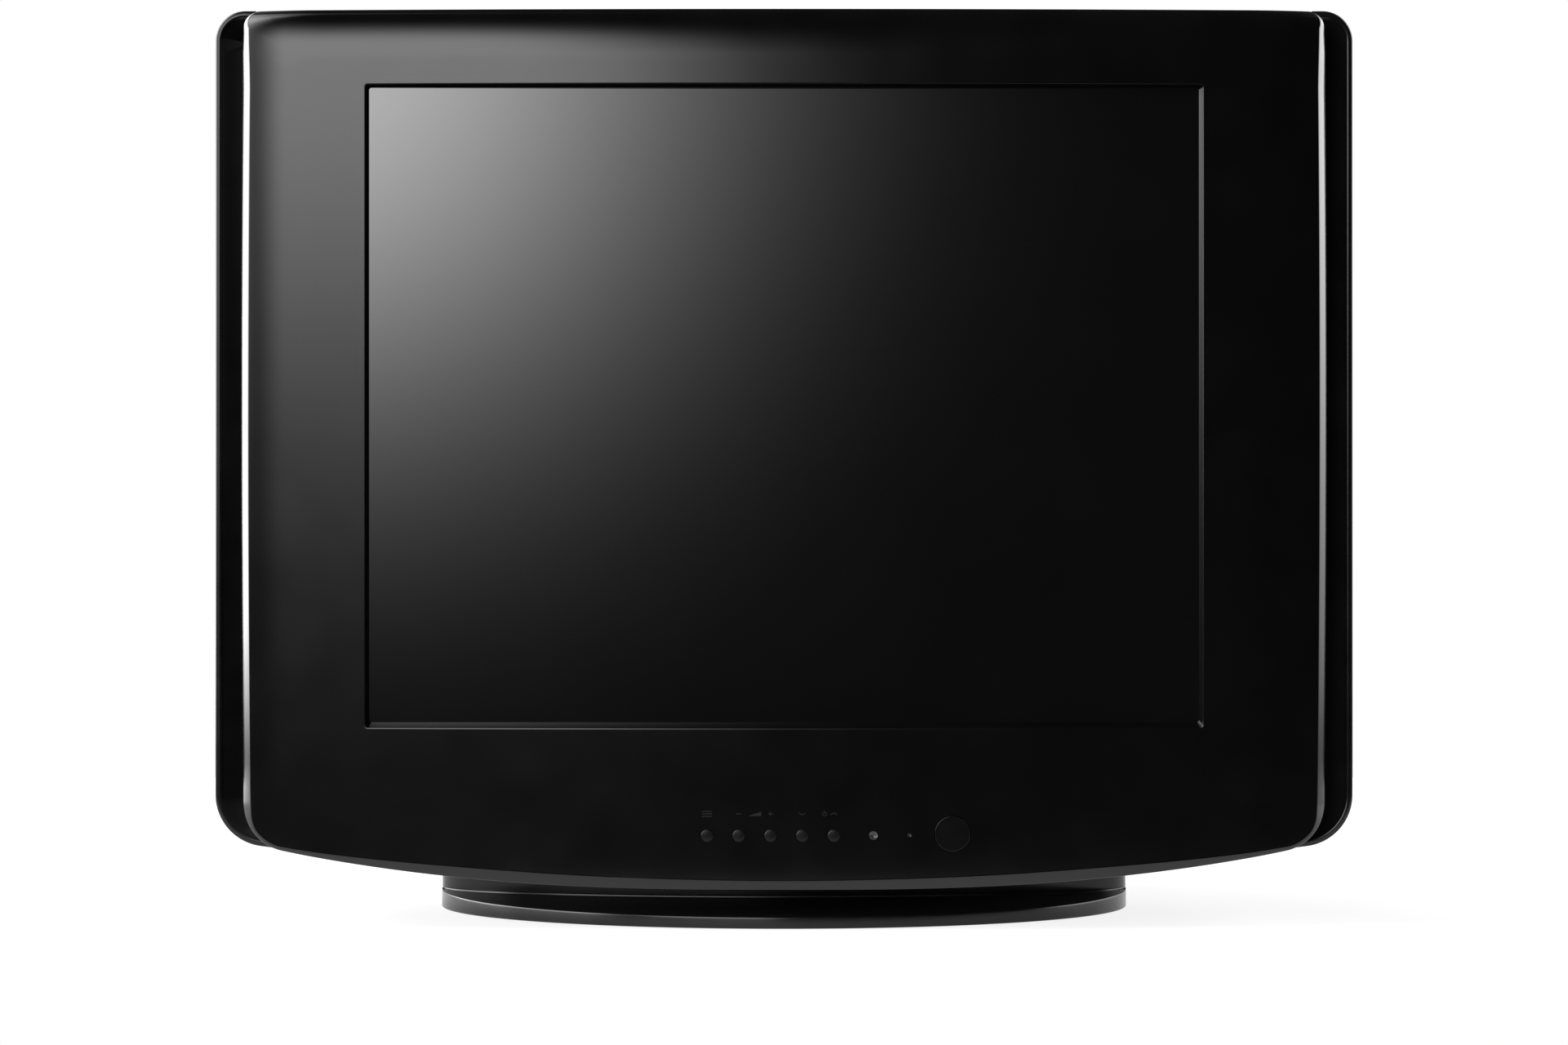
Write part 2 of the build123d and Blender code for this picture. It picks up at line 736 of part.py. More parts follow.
with BuildPart() as tact_switches:
    with BuildSketch(facing_front(key_board_depth)):
        with Locations(*[(x, key_z) for x in key_places]):
            RectangleRounded(tact_size, tact_size, 0.5)
    extrude(amount=tact_height)
    with BuildSketch(facing_front(tact_front)):
        with Locations(*[(x, key_z) for x in key_places]):
            Circle(plunger_radius)
    extrude(amount=plunger_height)
tact_switches.part.label = "tact_switches"
export_step(tact_switches.part, "parts/tact_switches.step")

receiver_height = 5.0
with BuildPart() as sensor_lens:
    sensor_face = panel_front(sensor_x)
    with BuildSketch(facing_front(key_board_depth - receiver_height - seam)):
        with Locations((sensor_x, key_z)):
            Circle(sensor_radius)
    extrude(amount=key_board_depth - receiver_height - seam - sensor_face)
    with BuildSketch(facing_front(sensor_face + 2 * wall)):
        with Locations((sensor_x, key_z)):
            Circle(sensor_radius + 1)
    extrude(amount=wall - fit)
sensor_lens.part.label = "sensor_lens"
export_step(sensor_lens.part, "parts/sensor_lens.step")

with BuildPart() as infrared_receiver:
    with BuildSketch(facing_front(key_board_depth)):
        with Locations((sensor_x, key_z)):
            RectangleRounded(7, 8, 1)
    extrude(amount=receiver_height)
infrared_receiver.part.label = "infrared_receiver"
export_step(infrared_receiver.part, "parts/infrared_receiver.step")

lamp_height = 5.0
with BuildPart() as lamp_guide:
    lamp_face = panel_front(lamp_x)
    with BuildSketch(facing_front(key_board_depth - lamp_height - seam)):
        with Locations((lamp_x, key_z)):
            Circle(lamp_radius)
    extrude(amount=key_board_depth - lamp_height - seam - lamp_face)
    with BuildSketch(facing_front(lamp_face + 2 * wall)):
        with Locations((lamp_x, key_z)):
            Circle(lamp_radius + 1)
    extrude(amount=wall - fit)
lamp_guide.part.label = "lamp_guide"
export_step(lamp_guide.part, "parts/lamp_guide.step")

with BuildPart() as standby_lamp:
    with BuildSketch(facing_front(key_board_depth)):
        with Locations((lamp_x, key_z)):
            Circle(1.5)
    extrude(amount=lamp_height)
    fillet(standby_lamp.faces().sort_by(Axis.Y)[0].edges(), 1.2)
    with BuildSketch(facing_front(key_board_depth)):
        with Locations((lamp_x, key_z)):
            Circle(1.9)
    extrude(amount=1)
standby_lamp.part.label = "standby_lamp"
export_step(standby_lamp.part, "parts/standby_lamp.step")

# ---------------------------------------------------------------- picture tube
with BuildPart() as crt_faceplate:
    with BuildSketch(facing_front(glass_back)):
        with Locations((0, screen_z)):
            RectangleRounded(glass_width, glass_height, glass_corner)
    extrude(amount=skirt_length)
    fillet(crt_faceplate.faces().sort_by(Axis.Y)[0].edges(), glass_edge)
    with BuildSketch(facing_front(glass_back)):
        with Locations((0, screen_z)):
            inner_corner = glass_corner - skirt_wall
            RectangleRounded(glass_width - 2 * skirt_wall, glass_height - 2 * skirt_wall, inner_corner)
    extrude(amount=skirt_length - glass_thickness, mode=Mode.SUBTRACT)
    fillet(crt_faceplate.faces().filter_by(Axis.Y).sort_by(Axis.Y)[1].edges(), glass_edge)
crt_faceplate.part.label = "crt_faceplate"
export_step(crt_faceplate.part, "parts/crt_faceplate.step")


def funnel_section(depth, width, height, corner, inset):
    """Rounded rectangle of the funnel at a depth, taken in by inset."""
    with BuildSketch(facing_front(depth)) as outline:
        with Locations((0, screen_z)):
            RectangleRounded(width - 2 * inset, height - 2 * inset, corner - inset)
    return outline.sketch.face()


def funnel_form(inset, taken):
    """Form of the funnel from its wide rim to a nearly round neck."""
    neck_width = 2 * neck_radius + 2
    rim = funnel_section(glass_back, glass_width, glass_height, glass_corner, inset)
    shoulder = funnel_section(shoulder_depth, shoulder_width, shoulder_height, shoulder_corner, inset)
    throat = funnel_section(throat_depth, throat_width, throat_height, throat_corner, inset)
    neck = funnel_section(neck_start, neck_width, neck_width, neck_width / 2 - 0.1, taken)
    with BuildPart() as form:
        loft([rim, shoulder], ruled=True)
        loft([shoulder, throat], ruled=True)
        loft([throat, neck], ruled=True)
    return form.part


with BuildPart() as crt_funnel:
    add(funnel_form(0, 0))
    with BuildSketch(facing_front(neck_start)):
        with Locations((0, screen_z)):
            Circle(neck_radius)
    extrude(amount=neck_start - tube_end)
    add(funnel_form(funnel_wall, neck_wall + 1), mode=Mode.SUBTRACT)
    with BuildSketch(facing_front(neck_start)):
        with Locations((0, screen_z)):
            Circle(neck_radius - neck_wall)
    extrude(amount=neck_start - tube_end + stem_thickness, mode=Mode.SUBTRACT)
crt_funnel.part.label = "crt_funnel"
export_step(crt_funnel.part, "parts/crt_funnel.step")

band_thickness = 1.5
band_front = 46.0
band_length = 28.0
with BuildPart() as rim_band:
    with BuildSketch(facing_front(band_front + band_length)):
        with Locations((0, screen_z)):
            band_out = fit + band_thickness
            band_corner = glass_corner + band_out
            RectangleRounded(glass_width + 2 * band_out, glass_height + 2 * band_out, band_corner)
    extrude(amount=band_length)
    with BuildSketch(facing_front(lug_depth + lug_thickness)):
        with Locations(*lug_places):
            Circle(lug_radius)
        for side, end in ((1, 1), (1, -1), (-1, 1), (-1, -1)):
            with Locations((side * (lug_x - lug_radius), screen_z + end * (lug_z - lug_radius))):
                Rectangle(3 * lug_radius, 1.6 * lug_radius, rotation=45 * side * end)
    extrude(amount=lug_thickness)
    with BuildSketch(facing_front(band_front + band_length)):
        with Locations((0, screen_z)):
            RectangleRounded(glass_width + 2 * fit, glass_height + 2 * fit, glass_corner + fit)
    extrude(amount=band_length, mode=Mode.SUBTRACT)
    with BuildSketch(facing_front(lug_depth + lug_thickness)):
        with Locations(*lug_places):
            Circle(long_screw_radius + seam)
    extrude(amount=lug_thickness, mode=Mode.SUBTRACT)
rim_band.part.label = "rim_band"
export_step(rim_band.part, "parts/rim_band.step")

crt_screw_length = 10.0
with BuildPart() as crt_screws:
    with BuildSketch(facing_front(lug_depth + lug_thickness)):
        with Locations(*lug_places):
            Circle(lug_radius - 1)
    extrude(amount=-1)
    with BuildSketch(facing_front(lug_depth + lug_thickness + 1)):
        with Locations(*lug_places):
            RegularPolygon(long_head_radius, 6)
    extrude(amount=-long_head)
    with BuildSketch(facing_front(lug_depth + lug_thickness)):
        with Locations(*lug_places):
            Circle(long_screw_radius)
    extrude(amount=lug_thickness + crt_screw_length)
crt_screws.part.label = "crt_screws"
export_step(crt_screws.part, "parts/crt_screws.step")

mask_depth = glass_front + glass_thickness + 2.0
mask_thickness = 0.5
mask_width = 400.0
mask_height = 302.0
mask_frame_depth = 16.0
with BuildPart() as shadow_mask:
    with BuildSketch(facing_front(mask_depth + mask_thickness)):
        with Locations((0, screen_z)):
            RectangleRounded(mask_width, mask_height, 8)
    extrude(amount=mask_thickness)
shadow_mask.part.label = "shadow_mask"
export_step(shadow_mask.part, "parts/shadow_mask.step")

frame_back = mask_depth + mask_thickness + mask_frame_depth
with BuildPart() as mask_frame:
    with BuildSketch(facing_front(frame_back)):
        with Locations((0, screen_z)):
            RectangleRounded(mask_width, mask_height, 8)
            RectangleRounded(mask_width - 4, mask_height - 4, 6, mode=Mode.SUBTRACT)
    extrude(amount=mask_frame_depth)
    with BuildSketch(facing_front(frame_back)):
        with Locations((0, screen_z)):
            RectangleRounded(mask_width, mask_height, 8)
            RectangleRounded(mask_width - 36, mask_height - 36, 4, mode=Mode.SUBTRACT)
    extrude(amount=2)
mask_frame.part.label = "mask_frame"
export_step(mask_frame.part, "parts/mask_frame.step")

spring_gap_x = (glass_width / 2 - skirt_wall) - mask_width / 2
spring_gap_z = (glass_height / 2 - skirt_wall) - mask_height / 2
with BuildPart() as mask_springs:
    with BuildSketch(facing_front(frame_back - 2)):
        for side in (-1, 1):
            with Locations((side * (mask_width + spring_gap_x) / 2, screen_z)):
                Rectangle(spring_gap_x - 2 * fit, 14)
            with Locations((0, screen_z + side * (mask_height + spring_gap_z) / 2)):
                Rectangle(14, spring_gap_z - 2 * fit)
    extrude(amount=5)
mask_springs.part.label = "mask_springs"
export_step(mask_springs.part, "parts/mask_springs.step")

shield_end = shoulder_depth + 6
shield_skin = 1.0
with BuildPart() as inner_shield:
    loft(
        [
            funnel_section(frame_back, mask_width - 6, mask_height - 6, 10, 0),
            funnel_section(shield_end, 250, 190, 10, 0),
        ],
        ruled=True,
    )
    loft(
        [
            funnel_section(frame_back, mask_width - 6, mask_height - 6, 10, shield_skin),
            funnel_section(shield_end, 250, 190, 10, shield_skin),
        ],
        ruled=True,
        mode=Mode.SUBTRACT,
    )
inner_shield.part.label = "inner_shield"
export_step(inner_shield.part, "parts/inner_shield.step")

gun_front = neck_start + 16
gun_back = tube_end - stem_thickness
gun_radius = 8.5
spacer_radius = neck_radius - neck_wall
with BuildPart() as electron_gun:
    with BuildSketch(Plane.YZ):
        with BuildLine():
            start = front_y + gun_front
            end = front_y + gun_back
            step = (end - start) / 6
            profile = [(start, 3)]
            for grid in range(5):
                left = start + grid * step
                outside = spacer_radius - fit if grid == 0 else gun_radius
                right = left + 0.8 * step
                profile += [(left, outside), (right, outside), (right, 4), (left + step, 4)]
            profile += [(end, 4), (end, 3)]
            Polyline([(y, screen_z + r) for y, r in profile], close=True)
        make_face()
    revolve(axis=tube_axis)
electron_gun.part.label = "electron_gun"
export_step(electron_gun.part, "parts/electron_gun.step")

base_thickness = 4.0
pin_circle = 9.0
pin_radius = 0.6
pin_length = 7.0
pin_count = 9
socket_length = 10.0
with BuildPart() as tube_base:
    with BuildSketch(facing_front(tube_end)):
        with Locations((0, screen_z)):
            Circle(neck_radius)
    extrude(amount=-base_thickness)
    with BuildSketch(facing_front(tube_end + base_thickness)):
        with Locations((0, screen_z)):
            with PolarLocations(pin_circle, pin_count):
                Circle(pin_radius)
    extrude(amount=-pin_length)
tube_base.part.label = "tube_base"
export_step(tube_base.part, "parts/tube_base.step")

socket_front = tube_end + base_thickness + seam
with BuildPart() as tube_socket:
    with BuildSketch(facing_front(socket_front)):
        with Locations((0, screen_z)):
            Circle(neck_radius + wall)
    extrude(amount=-socket_length)
    with BuildSketch(facing_front(socket_front)):
        with Locations((0, screen_z)):
            with PolarLocations(pin_circle, pin_count):
                Circle(pin_radius + fit)
            Circle(3)
    extrude(amount=-(socket_length - 1), mode=Mode.SUBTRACT)
tube_socket.part.label = "tube_socket"
export_step(tube_socket.part, "parts/tube_socket.step")

neck_board_depth = socket_front + socket_length
with BuildPart() as neck_board:
    with BuildSketch(facing_front(neck_board_depth)):
        with Locations((0, screen_z - 6)):
            RectangleRounded(90, 78, 3)
    extrude(amount=-board_thickness)
    with BuildSketch(facing_front(neck_board_depth)):
        with Locations((-32, screen_z + 12), (-32, screen_z - 6), (-32, screen_z - 24)):
            Rectangle(14, 10)
    extrude(amount=12)
neck_board.part.label = "neck_board"
export_step(neck_board.part, "parts/neck_board.step")

# ---------------------------------------------------------------- deflection yoke and its rings
flare_front = 166.0
flare_back = 214.0
flare_wide = 64.0
flare_narrow = 20.0
coil_thickness = 4.0
yoke_skin = 2.0
core_thickness = 8.0
core_front = 180.0
core_back = 208.0
collar_end = 236.0


def flare(depth):
    """Inner radius of the line coils at a depth."""
    share = (depth - flare_front) / (flare_back - flare_front)
    return flare_wide + (flare_narrow - flare_wide) * share


def flared_ring(start, end, inside, outside):
    """Profile above the tube's axis between two layers of the yoke."""
    corners = [(start, flare(start) + inside), (start, flare(start) + outside)]
    corners += [(end, flare(end) + outside), (end, flare(end) + inside)]
    with BuildSketch(Plane.YZ) as profile:
        with BuildLine():
            Polyline([(front_y + depth, screen_z + radius) for depth, radius in corners], close=True)
        make_face()
    return profile.sketch.face()


with BuildPart() as line_coils:
    revolve(flared_ring(flare_front, flare_back, 0, coil_thickness), axis=tube_axis)
    with BuildSketch(Plane.XY.offset(screen_z)):
        with Locations((0, front_y + (flare_front + flare_back) / 2)):
            Rectangle(3 * flare_wide, 2 * (flare_back - flare_front))
    extrude(amount=1, both=True, mode=Mode.SUBTRACT)
line_coils.part.label = "line_coils"
export_step(line_coils.part, "parts/line_coils.step")

housing_in = coil_thickness + fit
housing_out = housing_in + yoke_skin
with BuildPart() as yoke_housing:
    revolve(flared_ring(flare_front, flare_back, housing_in, housing_out), axis=tube_axis)
    with BuildSketch(facing_front(flare_front + yoke_skin)):
        with Locations((0, screen_z)):
            Circle(flare_wide + housing_out + 6)
            Circle(flare_wide + housing_in, mode=Mode.SUBTRACT)
    extrude(amount=yoke_skin)
    with BuildSketch(facing_front(flare_back)):
        with Locations((0, screen_z)):
            Circle(flare_narrow + housing_out)
            Circle(neck_radius + fit, mode=Mode.SUBTRACT)
    extrude(amount=-yoke_skin)
    with BuildSketch(facing_front(flare_back + yoke_skin)):
        with Locations((0, screen_z)):
            Circle(neck_radius + fit + yoke_skin)
            Circle(neck_radius + fit, mode=Mode.SUBTRACT)
    extrude(amount=-(collar_end - flare_back - yoke_skin))
yoke_housing.part.label = "yoke_housing"
export_step(yoke_housing.part, "parts/yoke_housing.step")

core_in = housing_out + fit
core_out = core_in + core_thickness
with BuildPart() as yoke_core:
    revolve(flared_ring(core_front, core_back, core_in, core_out), axis=tube_axis)
yoke_core.part.label = "yoke_core"
export_step(yoke_core.part, "parts/yoke_core.step")

with BuildPart() as frame_coils:
    winding = flared_ring(core_front, core_back, core_out + fit, core_out + coil_thickness)
    revolve(winding, axis=tube_axis)
    with BuildSketch(Plane.YZ):
        with Locations((front_y + (core_front + core_back) / 2, screen_z)):
            Rectangle(2 * (core_back - core_front), 3 * flare_wide)
    extrude(amount=12, both=True, mode=Mode.SUBTRACT)
frame_coils.part.label = "frame_coils"
export_step(frame_coils.part, "parts/frame_coils.step")

clamp_width = 7.0
with BuildPart() as yoke_clamp:
    collar_radius = neck_radius + fit + yoke_skin
    with BuildSketch(facing_front(collar_end)):
        with Locations((0, screen_z)):
            Circle(collar_radius + 1.5)
            with Locations((0, collar_radius + 4)):
                Rectangle(9, 9)
            Circle(collar_radius, mode=Mode.SUBTRACT)
            with Locations((0, collar_radius + 4)):
                Rectangle(3, 12, mode=Mode.SUBTRACT)
    extrude(amount=clamp_width)
yoke_clamp.part.label = "yoke_clamp"
export_step(yoke_clamp.part, "parts/yoke_clamp.step")

ring_count = 6
ring_thickness = 2.0
ring_pitch = 2.4
ring_start = collar_end + 4.0
with BuildPart() as magnet_rings:
    with BuildSketch(facing_front(ring_start - 2)):
        with Locations((0, screen_z)):
            Circle(neck_radius + fit + 1.5)
            Circle(neck_radius + fit, mode=Mode.SUBTRACT)
    extrude(amount=-(ring_count * ring_pitch + 4))
    for ring in range(ring_count):
        with BuildSketch(facing_front(ring_start + ring * ring_pitch)):
            with Locations((0, screen_z)):
                Circle(neck_radius + 8)
                with PolarLocations(neck_radius + 9, 1, start_angle=60 + 12 * ring):
                    Rectangle(8, 5)
                Circle(neck_radius + fit + 1, mode=Mode.SUBTRACT)
        extrude(amount=-ring_thickness)
magnet_rings.part.label = "magnet_rings"
export_step(magnet_rings.part, "parts/magnet_rings.step")

# ---------------------------------------------------------------- degaussing coil and anode lead
coil_radius = 4.0
coil_depth = lug_depth + lug_thickness + 1 + long_head + seam + coil_radius
coil_out = band_out + seam + coil_radius
with BuildPart() as degauss_coil:
    coil_x = glass_width / 2 + coil_out
    coil_z = glass_height / 2 + coil_out
    coil_y = front_y + coil_depth
    with BuildLine() as coil_path:
        FilletPolyline(
            (0, coil_y, screen_z + coil_z),
            (coil_x, coil_y, screen_z + coil_z),
            (coil_x, coil_y, screen_z - coil_z),
            (0, coil_y, screen_z - coil_z),
            radius=glass_corner + coil_out,
        )
    with BuildSketch(Plane(coil_path.line @ 0, z_dir=coil_path.line % 0)):
        Circle(coil_radius)
    sweep()
    mirror(about=Plane.YZ)
degauss_coil.part.label = "degauss_coil"
export_step(degauss_coil.part, "parts/degauss_coil.step")

cap_x = 40.0
cap_radius = 26.0
cap_thickness = 4.0
cap_boss_radius = 11.0
cap_boss_height = 11.0
cap_down = 0.27  # place along the upper slope of the funnel, from shoulder to throat
slope_run = throat_depth - shoulder_depth
slope_drop = (shoulder_height - throat_height) / 2
funnel_top = Plane(
    (
        cap_x,
        front_y + shoulder_depth + cap_down * slope_run,
        screen_z + shoulder_height / 2 - cap_down * slope_drop,
    ),
    x_dir=(1, 0, 0),
    z_dir=(0, slope_drop, slope_run),
)
with BuildPart() as anode_cap:
    with BuildSketch(funnel_top):
        Circle(cap_radius)
    extrude(amount=cap_thickness, taper=60)
    with BuildSketch(funnel_top):
        Circle(cap_boss_radius)
    extrude(amount=cap_boss_height)
anode_cap.part.label = "anode_cap"
export_step(anode_cap.part, "parts/anode_cap.step")

# ---------------------------------------------------------------- chassis
with BuildPart() as chassis_frame:
    with BuildSketch(level(chassis_bottom)):
        with Locations((0, front_y + (chassis_front + chassis_back) / 2)):
            RectangleRounded(chassis_width, chassis_back - chassis_front, 4)
            with GridLocations(chassis_width / 2, (chassis_back - chassis_front) / 2, 2, 2):
                pocket_x = chassis_width / 2 - 16
                pocket_y = (chassis_back - chassis_front) / 2 - 16
                RectangleRounded(pocket_x, pocket_y, 4, mode=Mode.SUBTRACT)
    extrude(amount=chassis_height)
chassis_frame.part.label = "chassis_frame"
export_step(chassis_frame.part, "parts/chassis_frame.step")

board_bottom = chassis_bottom + chassis_height
with BuildPart() as main_board:
    with BuildSketch(level(board_bottom)):
        with Locations((0, front_y + (chassis_front + chassis_back) / 2)):
            Rectangle(chassis_width - 4, chassis_back - chassis_front - 4)
    extrude(amount=board_thickness)
main_board.part.label = "main_board"
export_step(main_board.part, "parts/main_board.step")

flyback_x = 80.0
flyback_y = front_y + 215
flyback_height = 70.0
with BuildPart() as flyback_transformer:
    with BuildSketch(level(board_top)):
        with Locations((flyback_x, flyback_y)):
            RectangleRounded(44, 38, 6)
    extrude(amount=flyback_height)
    fillet(flyback_transformer.faces().sort_by(Axis.Z)[-1].edges(), 3)
    with BuildSketch(level(board_top)):
        with Locations((flyback_x - 28, flyback_y)):
            Rectangle(14, 16)
    extrude(amount=flyback_height - 14)
    with BuildSketch(Plane.XZ.offset(-(flyback_y - 19))):
        with Locations((flyback_x, board_top + 22), (flyback_x, board_top + 42)):
            Circle(6)
    extrude(amount=7)
flyback_transformer.part.label = "flyback_transformer"
export_step(flyback_transformer.part, "parts/flyback_transformer.step")


def heatsink_outline(x, y, length, fins):
    """Level outline of an extruded heatsink: a spine with fins on one side."""
    with BuildSketch(level(board_top)) as outline:
        with Locations((x, y)):
            Rectangle(length, 2.5)
        with Locations((x, y + 7)):
            with GridLocations(length / fins, 0, fins, 1):
                Rectangle(1.8, 14)
    return outline.sketch


with BuildPart() as line_heatsink:
    extrude(to_extrude=heatsink_outline(0, front_y + 250, 70, 8), amount=52)
line_heatsink.part.label = "line_heatsink"
export_step(line_heatsink.part, "parts/line_heatsink.step")

with BuildPart() as power_heatsink:
    extrude(to_extrude=heatsink_outline(-70, front_y + 236, 60, 7), amount=42)
power_heatsink.part.label = "power_heatsink"
export_step(power_heatsink.part, "parts/power_heatsink.step")

with BuildPart() as power_transformer:
    with BuildSketch(level(board_top)):
        with Locations((-78, front_y + 165)):
            Rectangle(46, 34)
    extrude(amount=4)
    with BuildSketch(level(board_top + 4)):
        with Locations((-78, front_y + 165)):
            RectangleRounded(32, 44, 4)
    extrude(amount=32)
    with BuildSketch(level(board_top + 4)):
        with Locations((-78, front_y + 165)):
            Rectangle(44, 14)
    extrude(amount=36)
power_transformer.part.label = "power_transformer"
export_step(power_transformer.part, "parts/power_transformer.step")

with BuildPart() as filter_capacitor:
    with BuildSketch(level(board_top)):
        with Locations((-25, front_y + 160)):
            Circle(15)
    extrude(amount=40)
    fillet(filter_capacitor.faces().sort_by(Axis.Z)[-1].edges(), 2)
filter_capacitor.part.label = "filter_capacitor"
export_step(filter_capacitor.part, "parts/filter_capacitor.step")

jack_radius = 4.2
jack_pitch = 16.0
with BuildPart() as jack_panel:
    with BuildSketch(facing_front(set_depth - 1)):
        with Locations((jack_x, board_top + jack_height / 2)):
            Rectangle(jack_width, jack_height)
    extrude(amount=jack_depth - 1)
    with BuildSketch(facing_front(set_depth - 1)):
        with Locations((jack_x, board_top + jack_height / 2)):
            with GridLocations(jack_pitch, jack_pitch, 5, 2):
                Circle(jack_radius)
                Circle(jack_radius - 2.2, mode=Mode.SUBTRACT)
    extrude(amount=-1)
    with BuildSketch(facing_front(set_depth - 1)):
        with Locations((jack_x, board_top + jack_height / 2)):
            with GridLocations(jack_pitch, jack_pitch, 5, 2):
                Circle(jack_radius - 2.2)
    extrude(amount=9, mode=Mode.SUBTRACT)
jack_panel.part.label = "jack_panel"
export_step(jack_panel.part, "parts/jack_panel.step")

tuner_back = set_depth - wall - 2
with BuildPart() as tuner:
    with BuildSketch(facing_front(tuner_back)):
        with Locations((tuner_x, board_top + jack_height / 2)):
            Rectangle(tuner_width, jack_height)
    extrude(amount=42)
    with BuildSketch(facing_front(tuner_back)):
        with Locations((tuner_x, board_top + jack_height / 2)):
            Circle(aerial_radius)
    extrude(amount=-(set_depth - tuner_back))
    with BuildSketch(facing_front(set_depth)):
        with Locations((tuner_x, board_top + jack_height / 2)):
            Circle(aerial_radius - 1)
            Circle(1.2, mode=Mode.SUBTRACT)
    extrude(amount=10, mode=Mode.SUBTRACT)
tuner.part.label = "tuner"
export_step(tuner.part, "parts/tuner.step")

lead_radius = 2.0
lead_height = (cap_thickness + cap_boss_height) / 2
lead_start = funnel_top.from_local_coords((cap_boss_radius, 0, lead_height))
lead_turn = funnel_top.from_local_coords((cap_boss_radius + 70, 0, lead_height + 4))
lead_points = [
    lead_start,
    lead_turn,
    Vector(215, front_y + 150, screen_z + 70),
    Vector(216, front_y + 166, screen_z),
    Vector(190, front_y + 182, screen_z - 62),
    Vector(140, front_y + 200, board_top + flyback_height + 34),
    Vector(flyback_x, flyback_y, board_top + flyback_height + 22),
    Vector(flyback_x, flyback_y, board_top + flyback_height),
]
with BuildPart() as anode_lead:
    with BuildLine() as lead_path:
        FilletPolyline(*lead_points, radius=[20, 24, 30, 30, 24, 12])
    with BuildSketch(Plane(lead_path.line @ 0, z_dir=lead_path.line % 0)):
        Circle(lead_radius)
    sweep()
anode_lead.part.label = "anode_lead"
export_step(anode_lead.part, "parts/anode_lead.step")
print("anode lead length", round(lead_path.wires()[0].length, 1))

# ---------------------------------------------------------------- loudspeakers
flange_thickness = 1.5
basket_depth = 18.0
magnet_radius = 20.0
magnet_thickness = 9.0


def speaker_section(reach, width, height, corner):
    """Rounded rectangle of the right loudspeaker at a reach from the middle of the set."""
    with BuildSketch(Plane.YZ.offset(reach)) as outline:
        with Locations((front_y + speaker_depth, speaker_z)):
            RectangleRounded(width, height, corner)
    return outline.sketch.face()


basket_start = speaker_seat - flange_thickness
basket_end = basket_start - basket_depth
with BuildPart() as speaker_right:
    flange_outline = speaker_section(speaker_seat, speaker_width, speaker_height, 8)
    extrude(to_extrude=flange_outline, amount=-flange_thickness)
    loft(
        [
            speaker_section(basket_start, speaker_width - 4, speaker_height - 4, 8),
            speaker_section(basket_end, 2 * magnet_radius, 2 * magnet_radius, 8),
        ],
        ruled=True,
    )
    loft(
        [
            speaker_section(speaker_seat, speaker_width - 8, speaker_height - 8, 7),
            speaker_section(basket_end + 2, 2 * magnet_radius - 6, 2 * magnet_radius - 6, 7),
        ],
        ruled=True,
        mode=Mode.SUBTRACT,
    )
    with BuildSketch(Plane.YZ.offset(basket_end)):
        with Locations((front_y + speaker_depth, speaker_z)):
            Circle(magnet_radius)
    extrude(amount=-magnet_thickness)
speaker_right.part.label = "speaker_right"
export_step(speaker_right.part, "parts/speaker_right.step")

with BuildPart() as speaker_left:
    mirror(speaker_right.part, about=Plane.YZ)
speaker_left.part.label = "speaker_left"
export_step(speaker_left.part, "parts/speaker_left.step")

cone_skin = 1.0
cone_width = speaker_width - 11
cone_height = speaker_height - 11
cone_centre = 18.0  # size of the cone's closed middle
with BuildPart() as right_cone:
    loft(
        [
            speaker_section(speaker_seat - 0.5, cone_width, cone_height, 6),
            speaker_section(basket_end + 3, cone_centre, cone_centre, 6),
        ],
        ruled=True,
    )
    inside_width = cone_width - 2 * cone_skin
    inside_height = cone_height - 2 * cone_skin
    inside_centre = cone_centre - 2 * cone_skin
    inside_end = basket_end + 3 + 1.5 * cone_skin
    loft(
        [
            speaker_section(speaker_seat - 0.5, inside_width, inside_height, 6 - cone_skin),
            speaker_section(inside_end, inside_centre, inside_centre, 6 - cone_skin),
        ],
        ruled=True,
        mode=Mode.SUBTRACT,
    )
with BuildPart() as speaker_cones:
    add(right_cone.part)
    mirror(right_cone.part, about=Plane.YZ)
speaker_cones.part.label = "speaker_cones"
export_step(speaker_cones.part, "parts/speaker_cones.step")

# ---------------------------------------------------------------- screws of the casing
with BuildPart() as panel_screws:
    with BuildSketch(facing_front(bulkhead_back)):
        with Locations(*panel_screw_places):
            Circle(screw_head_radius)
    extrude(amount=-screw_head)
    with BuildSketch(facing_front(bulkhead_back)):
        with Locations(*panel_screw_places):
            Circle(screw_radius)
    extrude(amount=wall + panel_screw_reach)
panel_screws.part.label = "panel_screws"
export_step(panel_screws.part, "parts/panel_screws.step")

with BuildPart() as cover_screws:
    with BuildSketch(facing_front(head_seat_depth)):
        with Locations(*cover_screw_places):
            Circle(screw_head_radius)
    extrude(amount=-screw_head)
    with BuildSketch(facing_front(head_seat_depth)):
        with Locations(*cover_screw_places):
            Circle(screw_radius)
    extrude(amount=wall + cover_screw_reach)
cover_screws.part.label = "cover_screws"
export_step(cover_screws.part, "parts/cover_screws.step")
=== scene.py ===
# %% [markdown]
# # A flat-screen picture tube television on its oval stand
# The casing is black plastic polished like a piano. It has next to no colour of its own: what the eye
# reads is the shape of the reflections. So the lesson spends its care on smooth, evenly divided
# surfaces and on a studio with a few soft lights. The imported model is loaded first, because every
# piece made here has to sit exactly where the engineering model has it.

# %% Load the frame
import json
import math

import bmesh
import bpy
import numpy as np
from mathutils import Matrix, Vector


